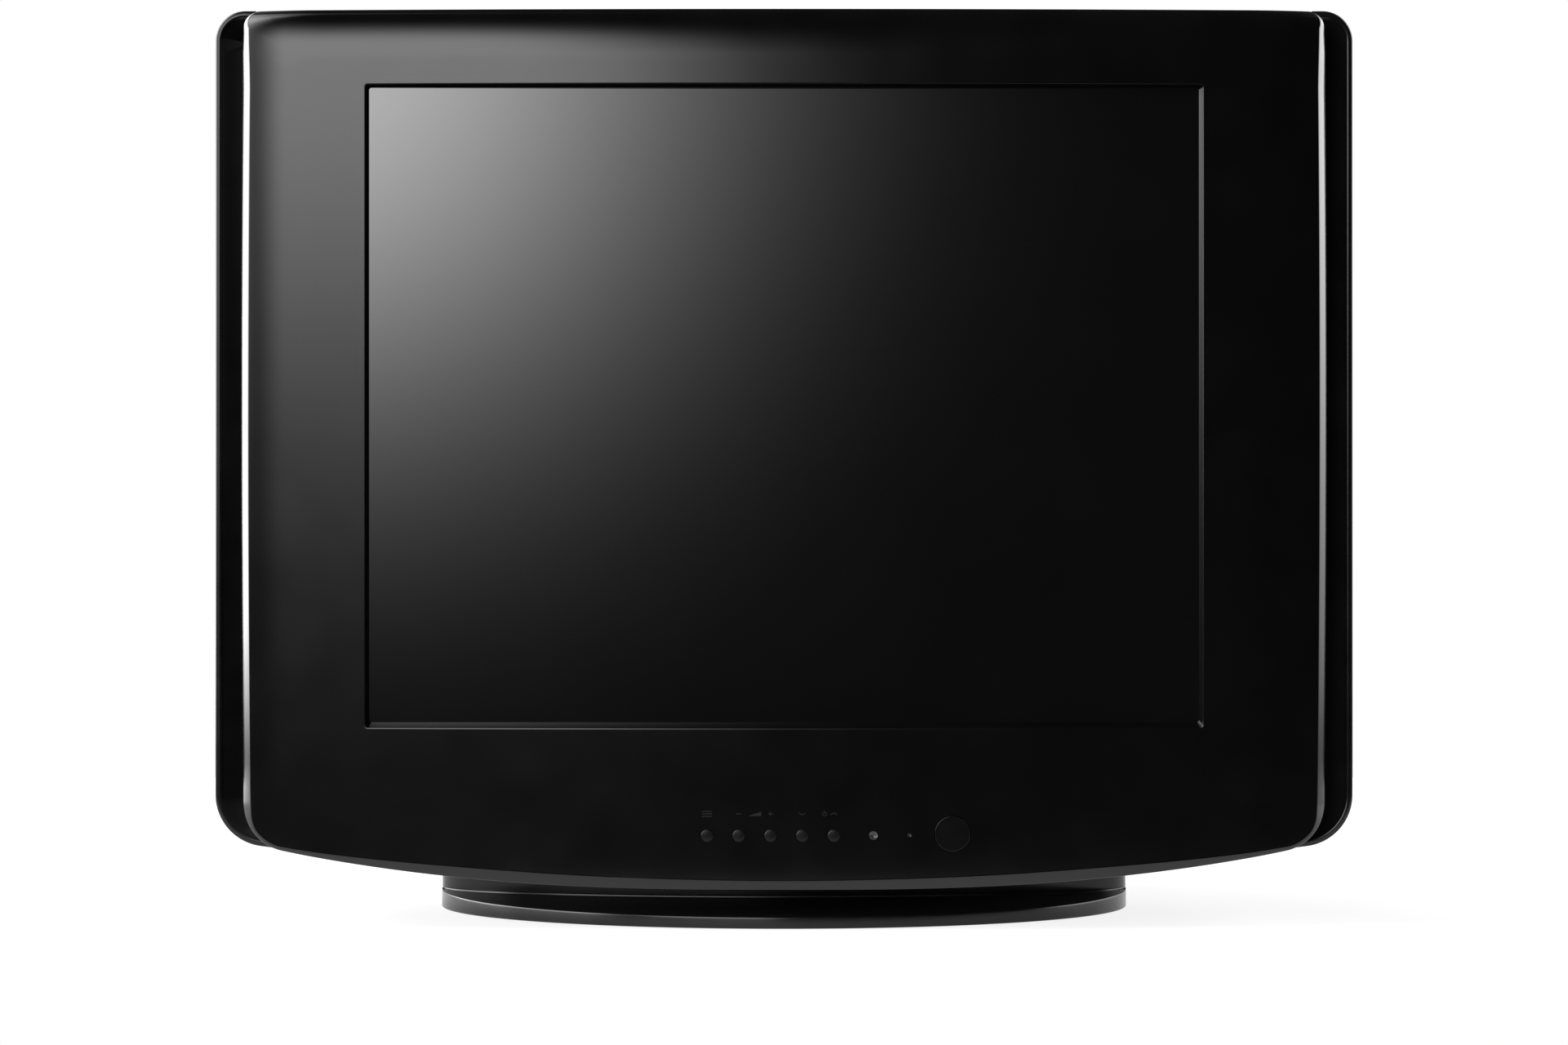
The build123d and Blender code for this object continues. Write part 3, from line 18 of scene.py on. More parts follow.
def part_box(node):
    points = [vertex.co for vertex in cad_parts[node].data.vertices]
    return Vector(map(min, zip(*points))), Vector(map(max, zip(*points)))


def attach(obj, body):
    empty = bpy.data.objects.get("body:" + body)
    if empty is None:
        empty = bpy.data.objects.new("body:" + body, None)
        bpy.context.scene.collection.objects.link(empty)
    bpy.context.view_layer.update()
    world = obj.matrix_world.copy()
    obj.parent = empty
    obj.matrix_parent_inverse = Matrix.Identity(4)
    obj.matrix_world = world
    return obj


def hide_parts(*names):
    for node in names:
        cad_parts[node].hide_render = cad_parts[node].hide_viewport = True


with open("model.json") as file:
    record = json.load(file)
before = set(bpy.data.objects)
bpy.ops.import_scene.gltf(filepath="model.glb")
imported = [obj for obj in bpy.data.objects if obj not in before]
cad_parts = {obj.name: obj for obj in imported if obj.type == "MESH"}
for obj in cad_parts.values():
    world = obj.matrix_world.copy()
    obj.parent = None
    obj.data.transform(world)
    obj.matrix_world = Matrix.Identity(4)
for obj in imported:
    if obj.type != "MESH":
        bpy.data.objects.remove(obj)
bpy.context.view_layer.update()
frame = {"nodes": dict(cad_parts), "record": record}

MM = 0.001
scene = bpy.context.scene
panel_low, panel_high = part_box("front_panel")
front_y = panel_low.y
nodes = frame["nodes"]
print("nodes", len(nodes), "front at", round(front_y, 4))


# %% [markdown]
# ## Measures
# The model is read in millimetres from the middle of the front panel: x to the right, depth to the
# back, z up from the table. One small function turns such a place into metres in the shared frame.
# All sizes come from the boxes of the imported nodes, or are shape details named where they are used.

# %% Places in millimetres
def to_frame(places):
    """Places as (x, depth, z) in millimetres become metres in the shared frame."""
    places = np.asarray(places, float)
    return places * MM + np.array((0.0, front_y, 0.0))


def middle_and_size(node):
    """Middle and size of a node's box as (x, depth, z) in millimetres."""
    low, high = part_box(node)
    middle = (low + high) / 2 - Vector((0, front_y, 0))
    return np.array(middle) / MM, np.array(high - low) / MM


def depths(node):
    """First and last depth of a node in millimetres."""
    low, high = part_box(node)
    return (low.y - front_y) / MM, (high.y - front_y) / MM


SPREAD = 0.3  # the moulding fills its gap a little more than the solid
panel_half = panel_high.x / MM + SPREAD
panel_top = panel_high.z / MM
panel_bottom = panel_low.z / MM
panel_back = depths("front_panel")[1]
cabinet_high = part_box("front_cabinet")[1]
cabinet_half, cabinet_top = cabinet_high.x / MM, cabinet_high.z / MM
rim_depth, seam_depth = depths("front_cabinet")
set_depth = depths("rear_cover")[1]
glass_middle, glass_size = middle_and_size("crt_faceplate")
screen_z = glass_middle[2]
glass_front = glass_middle[1] - glass_size[1] / 2
print("panel half", round(panel_half, 2), "screen middle", round(screen_z, 2))

# %% [markdown]
# ## The camera
# The camera stands level, straight in front and a little over two metres away, at the height of the
# lower half of the screen. A long lens keeps the sides of the casing out of sight.

# %% Camera
CAMERA_DISTANCE, CAMERA_HEIGHT, LENS = 2.25, 0.1994, 105.58
camera_data = bpy.data.cameras.new("camera")
camera_data.lens = LENS
camera_data.sensor_width = 36.0
camera = bpy.data.objects.new("camera", camera_data)
camera.location = (0.0, front_y - CAMERA_DISTANCE, CAMERA_HEIGHT)
camera.rotation_euler = (math.radians(90), 0, 0)
scene.collection.objects.link(camera)
scene.camera = camera
scene.view_settings.view_transform = "Standard"

# %% [markdown]
# ## Outlines that match point for point
# Panel, casing, cover and screen opening are all frames with four rounded corners. When every outline
# is divided the same way, any two of them can be joined by plain rows of quads. Even rows are what
# keeps a mirror finish free of dents. The corner arcs are found by sliding a circle of the right
# radius until it touches both neighbouring edges.

# %% Outline helper
SPANS = (40, 12, 64, 24, 48)  # divisions of half an outline: top, corner, side, corner, bottom


def inward(curve, s, step=1e-3):
    """Unit normal of a clockwise curve, towards the inside."""
    run = curve(s + step) - curve(s - step)
    run /= np.linalg.norm(run)
    return np.array((run[1], -run[0]))


def touching_circle(first, second, s, t, radius, rounds=12, nudge=0.01):
    """Parameters of two curves where a circle of the radius touches both."""
    def gap(s, t):
        return first(s) + radius * inward(first, s) - second(t) - radius * inward(second, t)

    for _ in range(rounds):
        here = gap(s, t)
        slope = np.column_stack((gap(s + nudge, t) - here, gap(s, t + nudge) - here)) / nudge
        change = np.linalg.solve(slope, -here)
        s, t = s + change[0], t + change[1]
    return s, t


def arc_between(start, end, centre, count):
    """Points of the clockwise arc from start to end, without the end."""
    first = math.atan2(*(start - centre)[::-1])
    last = math.atan2(*(end - centre)[::-1])
    while last > first:
        last -= 2 * math.pi
    radius = np.linalg.norm(start - centre)
    angles = np.linspace(first, last, count + 1)[:-1]
    return [centre + radius * np.array((math.cos(a), math.sin(a))) for a in angles]


def outline(top_law, side_law, bottom_law, top_radius, bottom_radius):
    """Closed outline, clockwise from the middle of the top, mirrored left to right."""
    high, low = top_law(0.0), bottom_law(0.0)
    wide = side_law((high + low) / 2)

    def top(s):
        return np.array((s, top_law(s)))

    def side(s):
        return np.array((side_law(high - s), high - s))

    def bottom(s):
        return np.array((wide - s, bottom_law(wide - s)))

    s1, s2 = touching_circle(top, side, wide - top_radius, top_radius, top_radius)
    low_guess = high - bottom_law(wide) - bottom_radius
    s3, s4 = touching_circle(side, bottom, low_guess, bottom_radius, bottom_radius)
    top_centre = top(s1) + top_radius * inward(top, s1)
    low_centre = side(s3) + bottom_radius * inward(side, s3)
    half = [top(s) for s in np.linspace(0, s1, SPANS[0] + 1)[:-1]]
    half += arc_between(top(s1), side(s2), top_centre, SPANS[1])
    half += [side(s) for s in np.linspace(s2, s3, SPANS[2] + 1)[:-1]]
    half += arc_between(side(s3), bottom(s4), low_centre, SPANS[3])
    half += [bottom(s) for s in np.linspace(s4, wide, SPANS[4] + 1)]
    half = np.array(half)
    return np.vstack((half, half[-2:0:-1] * (-1, 1)))


def inset(loop, amount):
    """Outline moved inwards along its normals, by one amount or one for each point."""
    run = np.roll(loop, -1, axis=0) - np.roll(loop, 1, axis=0)
    run /= np.linalg.norm(run, axis=1)[:, None]
    normal = np.column_stack((run[:, 1], -run[:, 0]))
    return loop + normal * np.broadcast_to(amount, len(loop))[:, None]


def circle(count):
    """Points (x, z) on a circle of radius one."""
    angles = np.linspace(0, 2 * math.pi, count, endpoint=False)
    return np.column_stack((np.cos(angles), np.sin(angles)))


def ring(loop, depth):
    """Outline at a depth, one for all or one for each point, as (x, depth, z)."""
    return np.column_stack((loop[:, 0], np.broadcast_to(depth, len(loop)), loop[:, 1]))


# %% [markdown]
# ## From rows of points to a piece
# A moulded piece is a run of rings joined by quads. Plastic never has a knife edge, so a ring at a
# corner can be replaced by a short curve of rings that starts and ends a given length away. That costs
# few faces and gives the thin highlights that sell an edge.

# %% Mesh helpers
SMOOTH_ANGLE = 32.0  # edges sharper than this many degrees stay sharp
SAME_PLACE = 1e-6  # metres within which two points are one


def unit(vectors):
    """Vectors scaled to length one."""
    return vectors / np.maximum(np.linalg.norm(vectors, axis=1), 1e-9)[:, None]


def soften(rings, reaches, steps=4):
    """Rings with the corners at some of them rounded over a reach."""
    made = []
    for k, (here, reach) in enumerate(zip(rings, reaches)):
        if not reach:
            made.append(here)
            continue
        before = here + unit(rings[k - 1] - here) * reach
        after = here + unit(rings[(k + 1) % len(rings)] - here) * reach
        for s in np.linspace(0, 1, steps + 1):
            made.append((1 - s) ** 2 * before + 2 * s * (1 - s) * here + s * s * after)
    return made


def new_piece(name, points, faces, material=None, smooth_angle=SMOOTH_ANGLE):
    """Mesh object at the origin from places in millimetres, with outward faces."""
    mesh = bpy.data.meshes.new(name)
    mesh.from_pydata(to_frame(points).tolist(), [], faces)
    piece = bpy.data.objects.new(name, mesh)
    scene.collection.objects.link(piece)
    tidy_mesh(piece, smooth_angle)
    if material:
        mesh.materials.append(material)
    return piece


def tidy_mesh(piece, smooth_angle):
    """Merges doubles, turns the faces outwards and smooths all but sharp edges."""
    work = bmesh.new()
    work.from_mesh(piece.data)
    bmesh.ops.remove_doubles(work, verts=work.verts, dist=SAME_PLACE)
    bmesh.ops.recalc_face_normals(work, faces=work.faces)
    work.to_mesh(piece.data)
    work.free()
    piece.data.shade_smooth()
    piece.data.set_sharp_from_angle(angle=math.radians(smooth_angle))


def run_faces(start, size, count, closed=False):
    """Quads from ring to ring of a size, with caps at the ends unless the run is closed."""
    faces = []
    for k in range(count if closed else count - 1):
        a, b = start + k * size, start + (k + 1) % count * size
        for i in range(size):
            j = (i + 1) % size
            faces.append((a + i, a + j, b + j, b + i))
    if not closed:
        last = start + (count - 1) * size
        faces += [tuple(range(start, start + size)), tuple(range(last, last + size))]
    return faces


def skin(name, rings, material=None, closed=False, smooth_angle=SMOOTH_ANGLE):
    """Piece whose surface runs from ring to ring, joined up into a loop or capped at its ends."""
    faces = run_faces(0, len(rings[0]), len(rings), closed)
    piece = new_piece(name, np.vstack(rings), faces, material, smooth_angle)
    print(name, "faces", len(piece.data.polygons))
    return piece


# %% [markdown]
# ## Finishes
# Each finish is a small node tree on Object coordinates, so it sticks to the piece and keeps its real
# scale. Polished black plastic gets a hint of mottle in its roughness and colour; grained plastic gets
# a pebbled bump; metal is brushed. Noise is measured in real size: a scale of 1000 is one feature a
# millimetre.

# %% Node helpers
def add_node(tree, kind, *values, settings=(), **named):
    """Node with its settings made and its inputs set or linked, in order or by name; its first output."""
    node = tree.nodes.new(kind)
    for key, value in dict(settings).items():
        setattr(node, key, value)
    by_name = [(node.inputs[key.replace("_", " ")], value) for key, value in named.items()]
    for socket, value in [*zip(node.inputs, values), *by_name]:
        if isinstance(value, bpy.types.NodeSocket):
            tree.links.new(value, socket)
        else:
            socket.default_value = value
    return node.outputs[0]


def joined(tree, operation, *values):
    """Output of a math node fed with sockets or numbers."""
    return add_node(tree, "ShaderNodeMath", *values, settings={"operation": operation})


# %% Finish helper
TINT = 0.25  # share by which the noise darkens or lightens a colour


def finish(name, colour, roughness, grain, spread, bump=0.0, stretch=(1, 1, 1), **sockets):
    """Material whose colour, roughness and bump, in millimetres, follow one noise of the given grain."""
    material = bpy.data.materials.new(name)
    material.use_nodes = True
    tree = material.node_tree
    shader = tree.nodes["Principled BSDF"]
    for key, value in sockets.items():
        shader.inputs[key.replace("_", " ")].default_value = value
    place = tree.nodes.new("ShaderNodeTexCoord").outputs["Object"]
    place = add_node(tree, "ShaderNodeMapping", Vector=place, Scale=stretch)
    noise = add_node(tree, "ShaderNodeTexNoise", Vector=place, Scale=grain, Detail=4.0)
    low, high = roughness - spread, roughness + spread
    shade = add_node(tree, "ShaderNodeMapRange", Value=noise, To_Min=low, To_Max=high)
    tree.links.new(shade, shader.inputs["Roughness"])
    paint = add_node(tree, "ShaderNodeValToRGB", Fac=noise)
    stops = tree.nodes[-1].color_ramp.elements
    for stop, position, change in zip(stops, (0.3, 0.7), (1 - TINT, 1 + TINT)):
        stop.position = position
        stop.color = (*(min(1.0, part * change) for part in colour), 1)
    tree.links.new(paint, shader.inputs["Base Color"])
    if bump:
        raised = add_node(tree, "ShaderNodeBump", Height=noise, Strength=1.0, Distance=bump * MM)
        tree.links.new(raised, shader.inputs["Normal"])
    return material


piano_black = finish("piano_black", (0.0022, 0.0022, 0.0023), 0.11, grain=35, spread=0.02, IOR=1.54)
casing_black = finish("casing_black", (0.0055, 0.0055, 0.0057), 0.15, grain=60, spread=0.03, IOR=1.43)
# the satin top of the stand's foot is rougher, and also darker with a lower IOR than the casing: painted
# shade on its upward faces
satin_casing = finish("satin_casing", (0.002, 0.002, 0.0021), 0.42, grain=300, spread=0.04, IOR=1.38)
grained_black = finish("grained_black", (0.012, 0.012, 0.0125), 0.5, grain=900, bump=0.06, spread=0.06)
tinted_glass = finish("tinted_glass", (0.0015, 0.0015, 0.0015), 0.03, grain=20, spread=0.005, IOR=1.98)

# %% [markdown]
# ## The studio
# Black gloss shows its surroundings, so the world itself is the studio: a dark room with a few soft
# patches of light. Each patch is given by its bearing and height in degrees, and its edges fade like a
# bell curve. The big one, up and to the left behind the camera, gives the glow on the glass; the lamps
# and strips beside the set draw the thin lines along its bevels. The camera itself sees plain white.

# %% World
# strength, bearing low and high, soft widths, height low and high, soft widths
PATCHES = (
    ("window", 5.6, (6.15, 28.0, 2.85, 8.5), (6.2, 18.0, 2.8, 12.0)),
    ("left lamp", 10.0, (60.0, 92.0, 6.0, 6.0), (3.9, 45.0, 1.9, 14.0)),
    ("left strip", 10.0, (104.0, 135.0, 6.0, 10.0), (-1.2, 30.0, 0.9, 12.0)),
    ("right wall", 0.9, (-135.0, -100.0, 10.0, 8.0), (-1.8, 30.0, 0.8, 12.0)),
    ("right strip", 5.0, (-135.0, -100.0, 10.0, 8.0), (6.0, 30.0, 3.5, 12.0)),
)
DARK_ROOM = 0.028  # what is left between the patches
LEAN_START, LEAN_SHARE = 6.0, 0.12  # above this height the patches lean to the left, by a share of the rise

world = bpy.data.worlds.new("studio")
scene.world = world
world.use_nodes = True
sky = world.node_tree
sky.nodes.clear()


def band(value, low, high, low_soft, high_soft):
    """One between low and high, fading outside them over the soft widths."""
    under = joined(sky, "DIVIDE", joined(sky, "SUBTRACT", low, value), low_soft)
    over = joined(sky, "DIVIDE", joined(sky, "SUBTRACT", value, high), high_soft)
    away = joined(sky, "MAXIMUM", joined(sky, "MAXIMUM", under, over), 0.0)
    return joined(sky, "EXPONENT", joined(sky, "MULTIPLY", joined(sky, "MULTIPLY", away, away), -0.5))


direction = sky.nodes.new("ShaderNodeTexCoord").outputs["Generated"]
split = sky.nodes.new("ShaderNodeSeparateXYZ")
sky.links.new(direction, split.inputs[0])
to_left = joined(sky, "MULTIPLY", split.outputs["X"], -1.0)
to_camera = joined(sky, "MULTIPLY", split.outputs["Y"], -1.0)
bearing = joined(sky, "DEGREES", joined(sky, "ARCTAN2", to_left, to_camera))
height = joined(sky, "DEGREES", joined(sky, "ARCSINE", split.outputs["Z"]))
rise = joined(sky, "MAXIMUM", joined(sky, "SUBTRACT", height, LEAN_START), 0.0)
bearing = joined(sky, "SUBTRACT", bearing, joined(sky, "MULTIPLY", rise, LEAN_SHARE))
light = DARK_ROOM
for name, strength, across, upward in PATCHES:
    patch = joined(sky, "MULTIPLY", band(bearing, *across), band(height, *upward))
    light = joined(sky, "ADD", joined(sky, "MULTIPLY", patch, strength), light)
    print("light patch:", name)

seen = sky.nodes.new("ShaderNodeLightPath").outputs["Is Camera Ray"]
room = add_node(sky, "ShaderNodeBackground", Strength=light)
white = add_node(sky, "ShaderNodeBackground", Color=(1, 1, 1, 1))
mix = add_node(sky, "ShaderNodeMixShader", seen, room, white)
sky.links.new(mix, sky.nodes.new("ShaderNodeOutputWorld").inputs["Surface"])

# %% [markdown]
# ## The table
# A plain white sheet lies under the set. It ends a quarter of a metre in front, so that the upright
# panel does not mirror it. Most of its white is its own, so that the lower edges of the casing mirror
# an even white, and the rest is lit, so the soft shadow under the stand stays.

# %% Table sheet
SHEET_WIDTH, SHEET_REACH = 2.4, 1.6
SHEET_MIDDLE = (0, 0.38, -0.0002)  # a hair under the feet
SHEET_COLOUR = 0.24  # the part of its white that is lit
SHEET_GLOW, SEEN_GLOW = 0.60, 0.24  # its own white, and what is added to it for the camera

bpy.ops.mesh.primitive_plane_add(size=1)
table_sheet = bpy.context.active_object
table_sheet.name = "table_sheet"
table_sheet.data.transform(Matrix.Diagonal((SHEET_WIDTH, SHEET_REACH, 1, 1)))
table_sheet.data.transform(Matrix.Translation(SHEET_MIDDLE))
sheet_paint = bpy.data.materials.new("sheet_paint")
sheet_paint.use_nodes = True
paint = sheet_paint.node_tree
diffuse = add_node(paint, "ShaderNodeBsdfDiffuse", Color=(*[SHEET_COLOUR] * 3, 1))
seen = paint.nodes.new("ShaderNodeLightPath").outputs["Is Camera Ray"]
glow = joined(paint, "MULTIPLY_ADD", seen, SEEN_GLOW, SHEET_GLOW)
own = add_node(paint, "ShaderNodeEmission", Strength=glow)
both = add_node(paint, "ShaderNodeAddShader", diffuse, own)
paint.links.new(both, paint.nodes["Material Output"].inputs["Surface"])
table_sheet.data.materials.append(sheet_paint)

# %% [markdown]
# ## The front panel
# The panel is one moulding: a gently bowed front with a rectangular opening, slanted bevels down both
# sides and along the curved bottom edge, and a soft roll over the top. Every part of it follows a
# rule, so it is built from rules instead of sculpted: one law gives the outline, one the depth of the
# front at any place, one the width of the bevel along the edge.

# %% Laws of the panel
BOTTOM_RISE, BOTTOM_POWER = 23.5, 2.59
SIDE_BOW = 1.5
FRONT_BOW, ROLL_WIDTH, ROLL = 8.0, 40.0, 7.0
TOP_ROLL_HEIGHT, TOP_ROLL_DEPTH = 23.5, 10.0
PANEL_CORNERS = 9.0, 25.0  # radii at the top and at the bottom
BEVEL_WIDTH, BEVEL_DEPTH = 4.4, 6.3
BOTTOM_PLACES = (0, 104, 144, 170, 224, 255)  # from the middle outwards
BOTTOM_WIDTHS = (4.4, 5.7, 6.3, 6.3, 5.0, 2.4)  # of the bevel at those places
CORNER_REACH, CORNER_TOP, CORNER_WIDTH = 34.0, 50.0, 1.6
SIDE_START, SIDE_RISE, SIDE_LEAST = 44.0, 12.0, 0.36  # where the side bevel widens, and from what share
TOP_START, TOP_RISE, TOP_WIDTH = 12.0, 10.0, 0.3  # where it narrows below the top edge, and to what
NEIGHBOURS = 4  # points on each side over which the width is averaged


def panel_outline():
    """Outline of the front panel."""
    reach = (panel_top - panel_bottom) / 2

    def top(x):
        return panel_top

    def side(z):
        return panel_half - SIDE_BOW * ((z - screen_z) / reach) ** 2

    def bottom(x):
        return panel_bottom + BOTTOM_RISE * (abs(x) / panel_half) ** BOTTOM_POWER

    return outline(top, side, bottom, *PANEL_CORNERS)


def front_depth(loop):
    """Depth of the panel's front at each (x, z): wide bow, side roll and top roll."""
    x, z = loop[:, 0], loop[:, 1]
    past = np.maximum(0, np.abs(x) - (panel_half - ROLL_WIDTH)) / ROLL_WIDTH
    depth = FRONT_BOW * (x / panel_half) ** 2 + ROLL * past**2
    up = np.clip((z - panel_top + TOP_ROLL_HEIGHT) / TOP_ROLL_HEIGHT, 0, 1)
    return depth + TOP_ROLL_DEPTH * (1 - np.sqrt(np.maximum(0, 1 - up**2)))


panel_edge = panel_outline()
x, z = panel_edge[:, 0], panel_edge[:, 1]
along_bottom = np.clip(1 - (z - panel_bottom) / CORNER_REACH, 0, 1)
bottom_width = np.interp(np.abs(x), BOTTOM_PLACES, BOTTOM_WIDTHS) * along_bottom
side_width = BEVEL_WIDTH * np.clip((z - SIDE_START) / SIDE_RISE, SIDE_LEAST, 1)
width = np.where(z < CORNER_TOP, np.maximum(bottom_width, CORNER_WIDTH), side_width)
near_top = np.clip((z - (panel_top - TOP_START)) / TOP_RISE, 0, 1)
bevel = width * (1 - near_top) + TOP_WIDTH * near_top
weights = np.ones(2 * NEIGHBOURS + 1) / (2 * NEIGHBOURS + 1)
bevel = np.convolve(np.concatenate((bevel[-NEIGHBOURS:], bevel, bevel[:NEIGHBOURS])), weights, "valid")
print("bevel from", round(bevel.min(), 2), "to", round(bevel.max(), 2))

# %% [markdown]
# The screen opening has a narrow lip that slants back to the glass. The rows between the bevel and the
# lip crowd together towards the edge, where the front curves most, and spread out over the flat part.
# The back of the moulding is a second skin three millimetres behind the front.

# %% Panel rings
SCREEN_WIDTH, SCREEN_HEIGHT, LIP, WALL = 408.6, 312.6, 1.1, 3.0
LIP_DROP = 0.75  # the lip is narrower by half of this along the top, and wider along the bottom
LIP_BACK = glass_front - 0.3  # it ends a gap in front of the glass
ROWS, CROWDING, LAST_ROW = 26, 1.7, 0.985  # rows from the bevel to the lip
LEAN_HEIGHTS = (panel_bottom, 45.0, 75.0)
LEANS = (0.72, 0.85, BEVEL_DEPTH / BEVEL_WIDTH)  # depth of the bevel by its width at those heights
RETURN, RETURN_DEPTH = 4.5, 4.0  # the skirt behind the bevel: its thickness, and where it starts


def rectangle(width, height, middle, radius):
    """Outline of a rounded rectangle about the middle of the set."""
    top, bottom = middle + height / 2, middle - height / 2
    return outline(lambda x: top, lambda z: width / 2, lambda x: bottom, radius, radius)


screen_edge = rectangle(SCREEN_WIDTH, SCREEN_HEIGHT, screen_z, 1.2)
lip_height = SCREEN_HEIGHT + 2 * LIP + LIP_DROP
lip_edge = rectangle(SCREEN_WIDTH + 2 * LIP, lip_height, screen_z - LIP_DROP, 1.6)
frame_edge = rectangle(SCREEN_WIDTH + 4 * WALL, SCREEN_HEIGHT + 4 * WALL, screen_z, 8.0)
bevel_edge = inset(panel_edge, bevel)
lean = np.interp(panel_edge[:, 1], LEAN_HEIGHTS, LEANS)
outer = ring(panel_edge, front_depth(panel_edge) + bevel * lean)
inner_edge = inset(panel_edge, RETURN)

rings = [ring(panel_edge, panel_back), outer, ring(bevel_edge, front_depth(bevel_edge))]
reaches = [0.6, 0.5, 0.8]
for share in [(row / ROWS) ** CROWDING for row in range(1, ROWS)] + [LAST_ROW]:
    loop = bevel_edge + (lip_edge - bevel_edge) * share
    rings.append(ring(loop, front_depth(loop)))
    reaches.append(0)
rings += [
    ring(lip_edge, front_depth(lip_edge)),
    ring(screen_edge, LIP_BACK),
    ring(frame_edge, LIP_BACK),
    ring(frame_edge, front_depth(frame_edge) + WALL),
    ring(inner_edge, front_depth(panel_edge) + WALL + RETURN_DEPTH),
    ring(inner_edge, panel_back),
]
reaches += [0.35, 0, 0, 0, 0, 0]
front_panel = skin("panel_moulding", soften(rings, reaches), piano_black, closed=True)

# %% [markdown]
# The holes for the keys, the power button, the receiver lens and the lamp are drilled with a boolean
# cut. The cutters are plain round pins; an exact cut leaves the rows of the front as they were.

# %% Cutting helper
def pin(middle, radius, start, end, count=64):
    """Round cutter along the depth."""
    loop = circle(count) * radius + middle
    return skin("cutter", [ring(loop, start), ring(loop, end)])


def settle(piece):
    """Makes what a piece's modifiers give its plain mesh."""
    result = bpy.data.meshes.new_from_object(piece.evaluated_get(bpy.context.evaluated_depsgraph_get()))
    piece.modifiers.clear()
    piece.data = result
    result.name = piece.name


def cut(piece, cutters):
    """Takes the cutters out of a piece and removes them."""
    dump = bpy.data.collections.new("cutters")
    scene.collection.children.link(dump)
    for cutter in cutters:
        scene.collection.objects.unlink(cutter)
        dump.objects.link(cutter)
    tool = piece.modifiers.new("cut", "BOOLEAN")
    tool.operation = "DIFFERENCE"
    tool.solver = "EXACT"
    tool.operand_type = "COLLECTION"
    tool.collection = dump
    settle(piece)
    for cutter in cutters:
        bpy.data.objects.remove(cutter)
    bpy.data.collections.remove(dump)
    piece.data.set_sharp_from_angle(angle=math.radians(SMOOTH_ANGLE))
    print(piece.name, "cut to", len(piece.data.polygons), "faces")


# %% Drill the panel
KEY_NODES = ("key_menu", "key_volume_down", "key_volume_up", "key_channel_down", "key_channel_up")
SLACK = 0.3  # clearance round the power button; the keys have twice as much
THROUGH = -5, 12  # depths between which the pins cut
LENS_HOLE, LAMP_HOLE = 2.25, 1.1
key_z = middle_and_size("key_menu")[0][2]
key_radius = 2.95
power_middle, power_size = middle_and_size("power_button")
power_radius = power_size[0] / 2
lens_middle, lamp_middle = (middle_and_size(node)[0] for node in ("sensor_lens", "lamp_guide"))
key_places = [middle_and_size(key)[0][0] for key in KEY_NODES]
drills = [pin((place, key_z), key_radius + 2 * SLACK, *THROUGH) for place in key_places]
for middle, radius, sides in (
    (power_middle[[0, 2]], power_radius + SLACK, 96),
    ((lens_middle[0], key_z), LENS_HOLE, 48),
    ((lamp_middle[0], key_z), LAMP_HOLE, 32),
):
    drills.append(pin(middle, radius, *THROUGH, sides))
cut(front_panel, drills)
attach(front_panel, "set")
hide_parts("front_panel")

# %% [markdown]
# ## The front cabinet
# The cabinet is the deep frame behind the panel. Left and right it stands out as two slim wings: each
# starts with a rounded rim, and between rim and panel its face slopes back. It narrows a little
# towards the back so that it slides out of its mould. It is drawn as one run of rings, and the room
# of the panel is then cut out of it.

# %% Cabinet rings
CABINET_BOTTOM, CABINET_RISE, TAPER = 21.5, 20.1, 3.0
CABINET_CORNERS = 15.0, 26.0  # radii at the top and at the bottom
RIM, DISH, WING_DEPTH = 3.5, 4.0, 7.9
RIM_STEP, RIM_DROP = 0.3, 0.9  # the rim's inner side
SLOPE_END, FLOOR_ROW = 14.0, 19.0  # how far in the wing's slope ends, and the floor's next ring
OPENING_GAP, OPENING_CORNER = 4, 26.0  # of the opening for the tube
GAP, TOP_GAP = 0.5, 2.0  # round the panel, and what is added over its top


def casing(half, top, bottom, rise, top_radius, bottom_radius):
    """Outline of the casing: flat top, upright sides and a bowed bottom."""
    arc = (half**2 + rise**2) / (2 * rise)

    def low(x):
        return bottom + arc - math.sqrt(max(0.0, arc**2 - x**2))

    return outline(lambda x: top, lambda z: half, low, top_radius, bottom_radius)


def cabinet_outline(depth, inwards=0.0):
    """Outline of the cabinet at a depth."""
    drawn = inwards + TAPER * (depth - rim_depth) / (seam_depth - rim_depth)
    half, top, bottom = cabinet_half - drawn, cabinet_top - drawn, CABINET_BOTTOM + drawn
    return casing(half, top, bottom, CABINET_RISE, *(corner - drawn for corner in CABINET_CORNERS))


rim_edge = cabinet_outline(rim_depth)
floor_depth = rim_depth + WING_DEPTH
opening_width, opening_height = glass_size[[0, 2]] + OPENING_GAP
opening = rectangle(opening_width, opening_height, screen_z, OPENING_CORNER)
rings = [
    ring(cabinet_outline(seam_depth), seam_depth),
    ring(rim_edge, rim_depth),
    ring(inset(rim_edge, RIM), rim_depth),
    ring(inset(rim_edge, RIM + RIM_STEP), rim_depth + RIM_DROP),
    ring(inset(rim_edge, RIM + SLOPE_END), floor_depth),
    ring(inset(rim_edge, RIM + FLOOR_ROW), floor_depth),
    ring(opening, floor_depth),
    ring(opening, floor_depth + WALL),
    ring(cabinet_outline(floor_depth + WALL, WALL), floor_depth + WALL),
    ring(cabinet_outline(seam_depth, WALL), seam_depth),
]
reaches = [0.5, 2.3, 1.15, 0.4, 0, 0, 0, 0, 0, 0]
front_cabinet = skin("cabinet_moulding", soften(rings, reaches, 6), casing_black, closed=True)
room = inset(panel_edge, -GAP)
room[:, 1] += TOP_GAP * (room[:, 1] > screen_z)

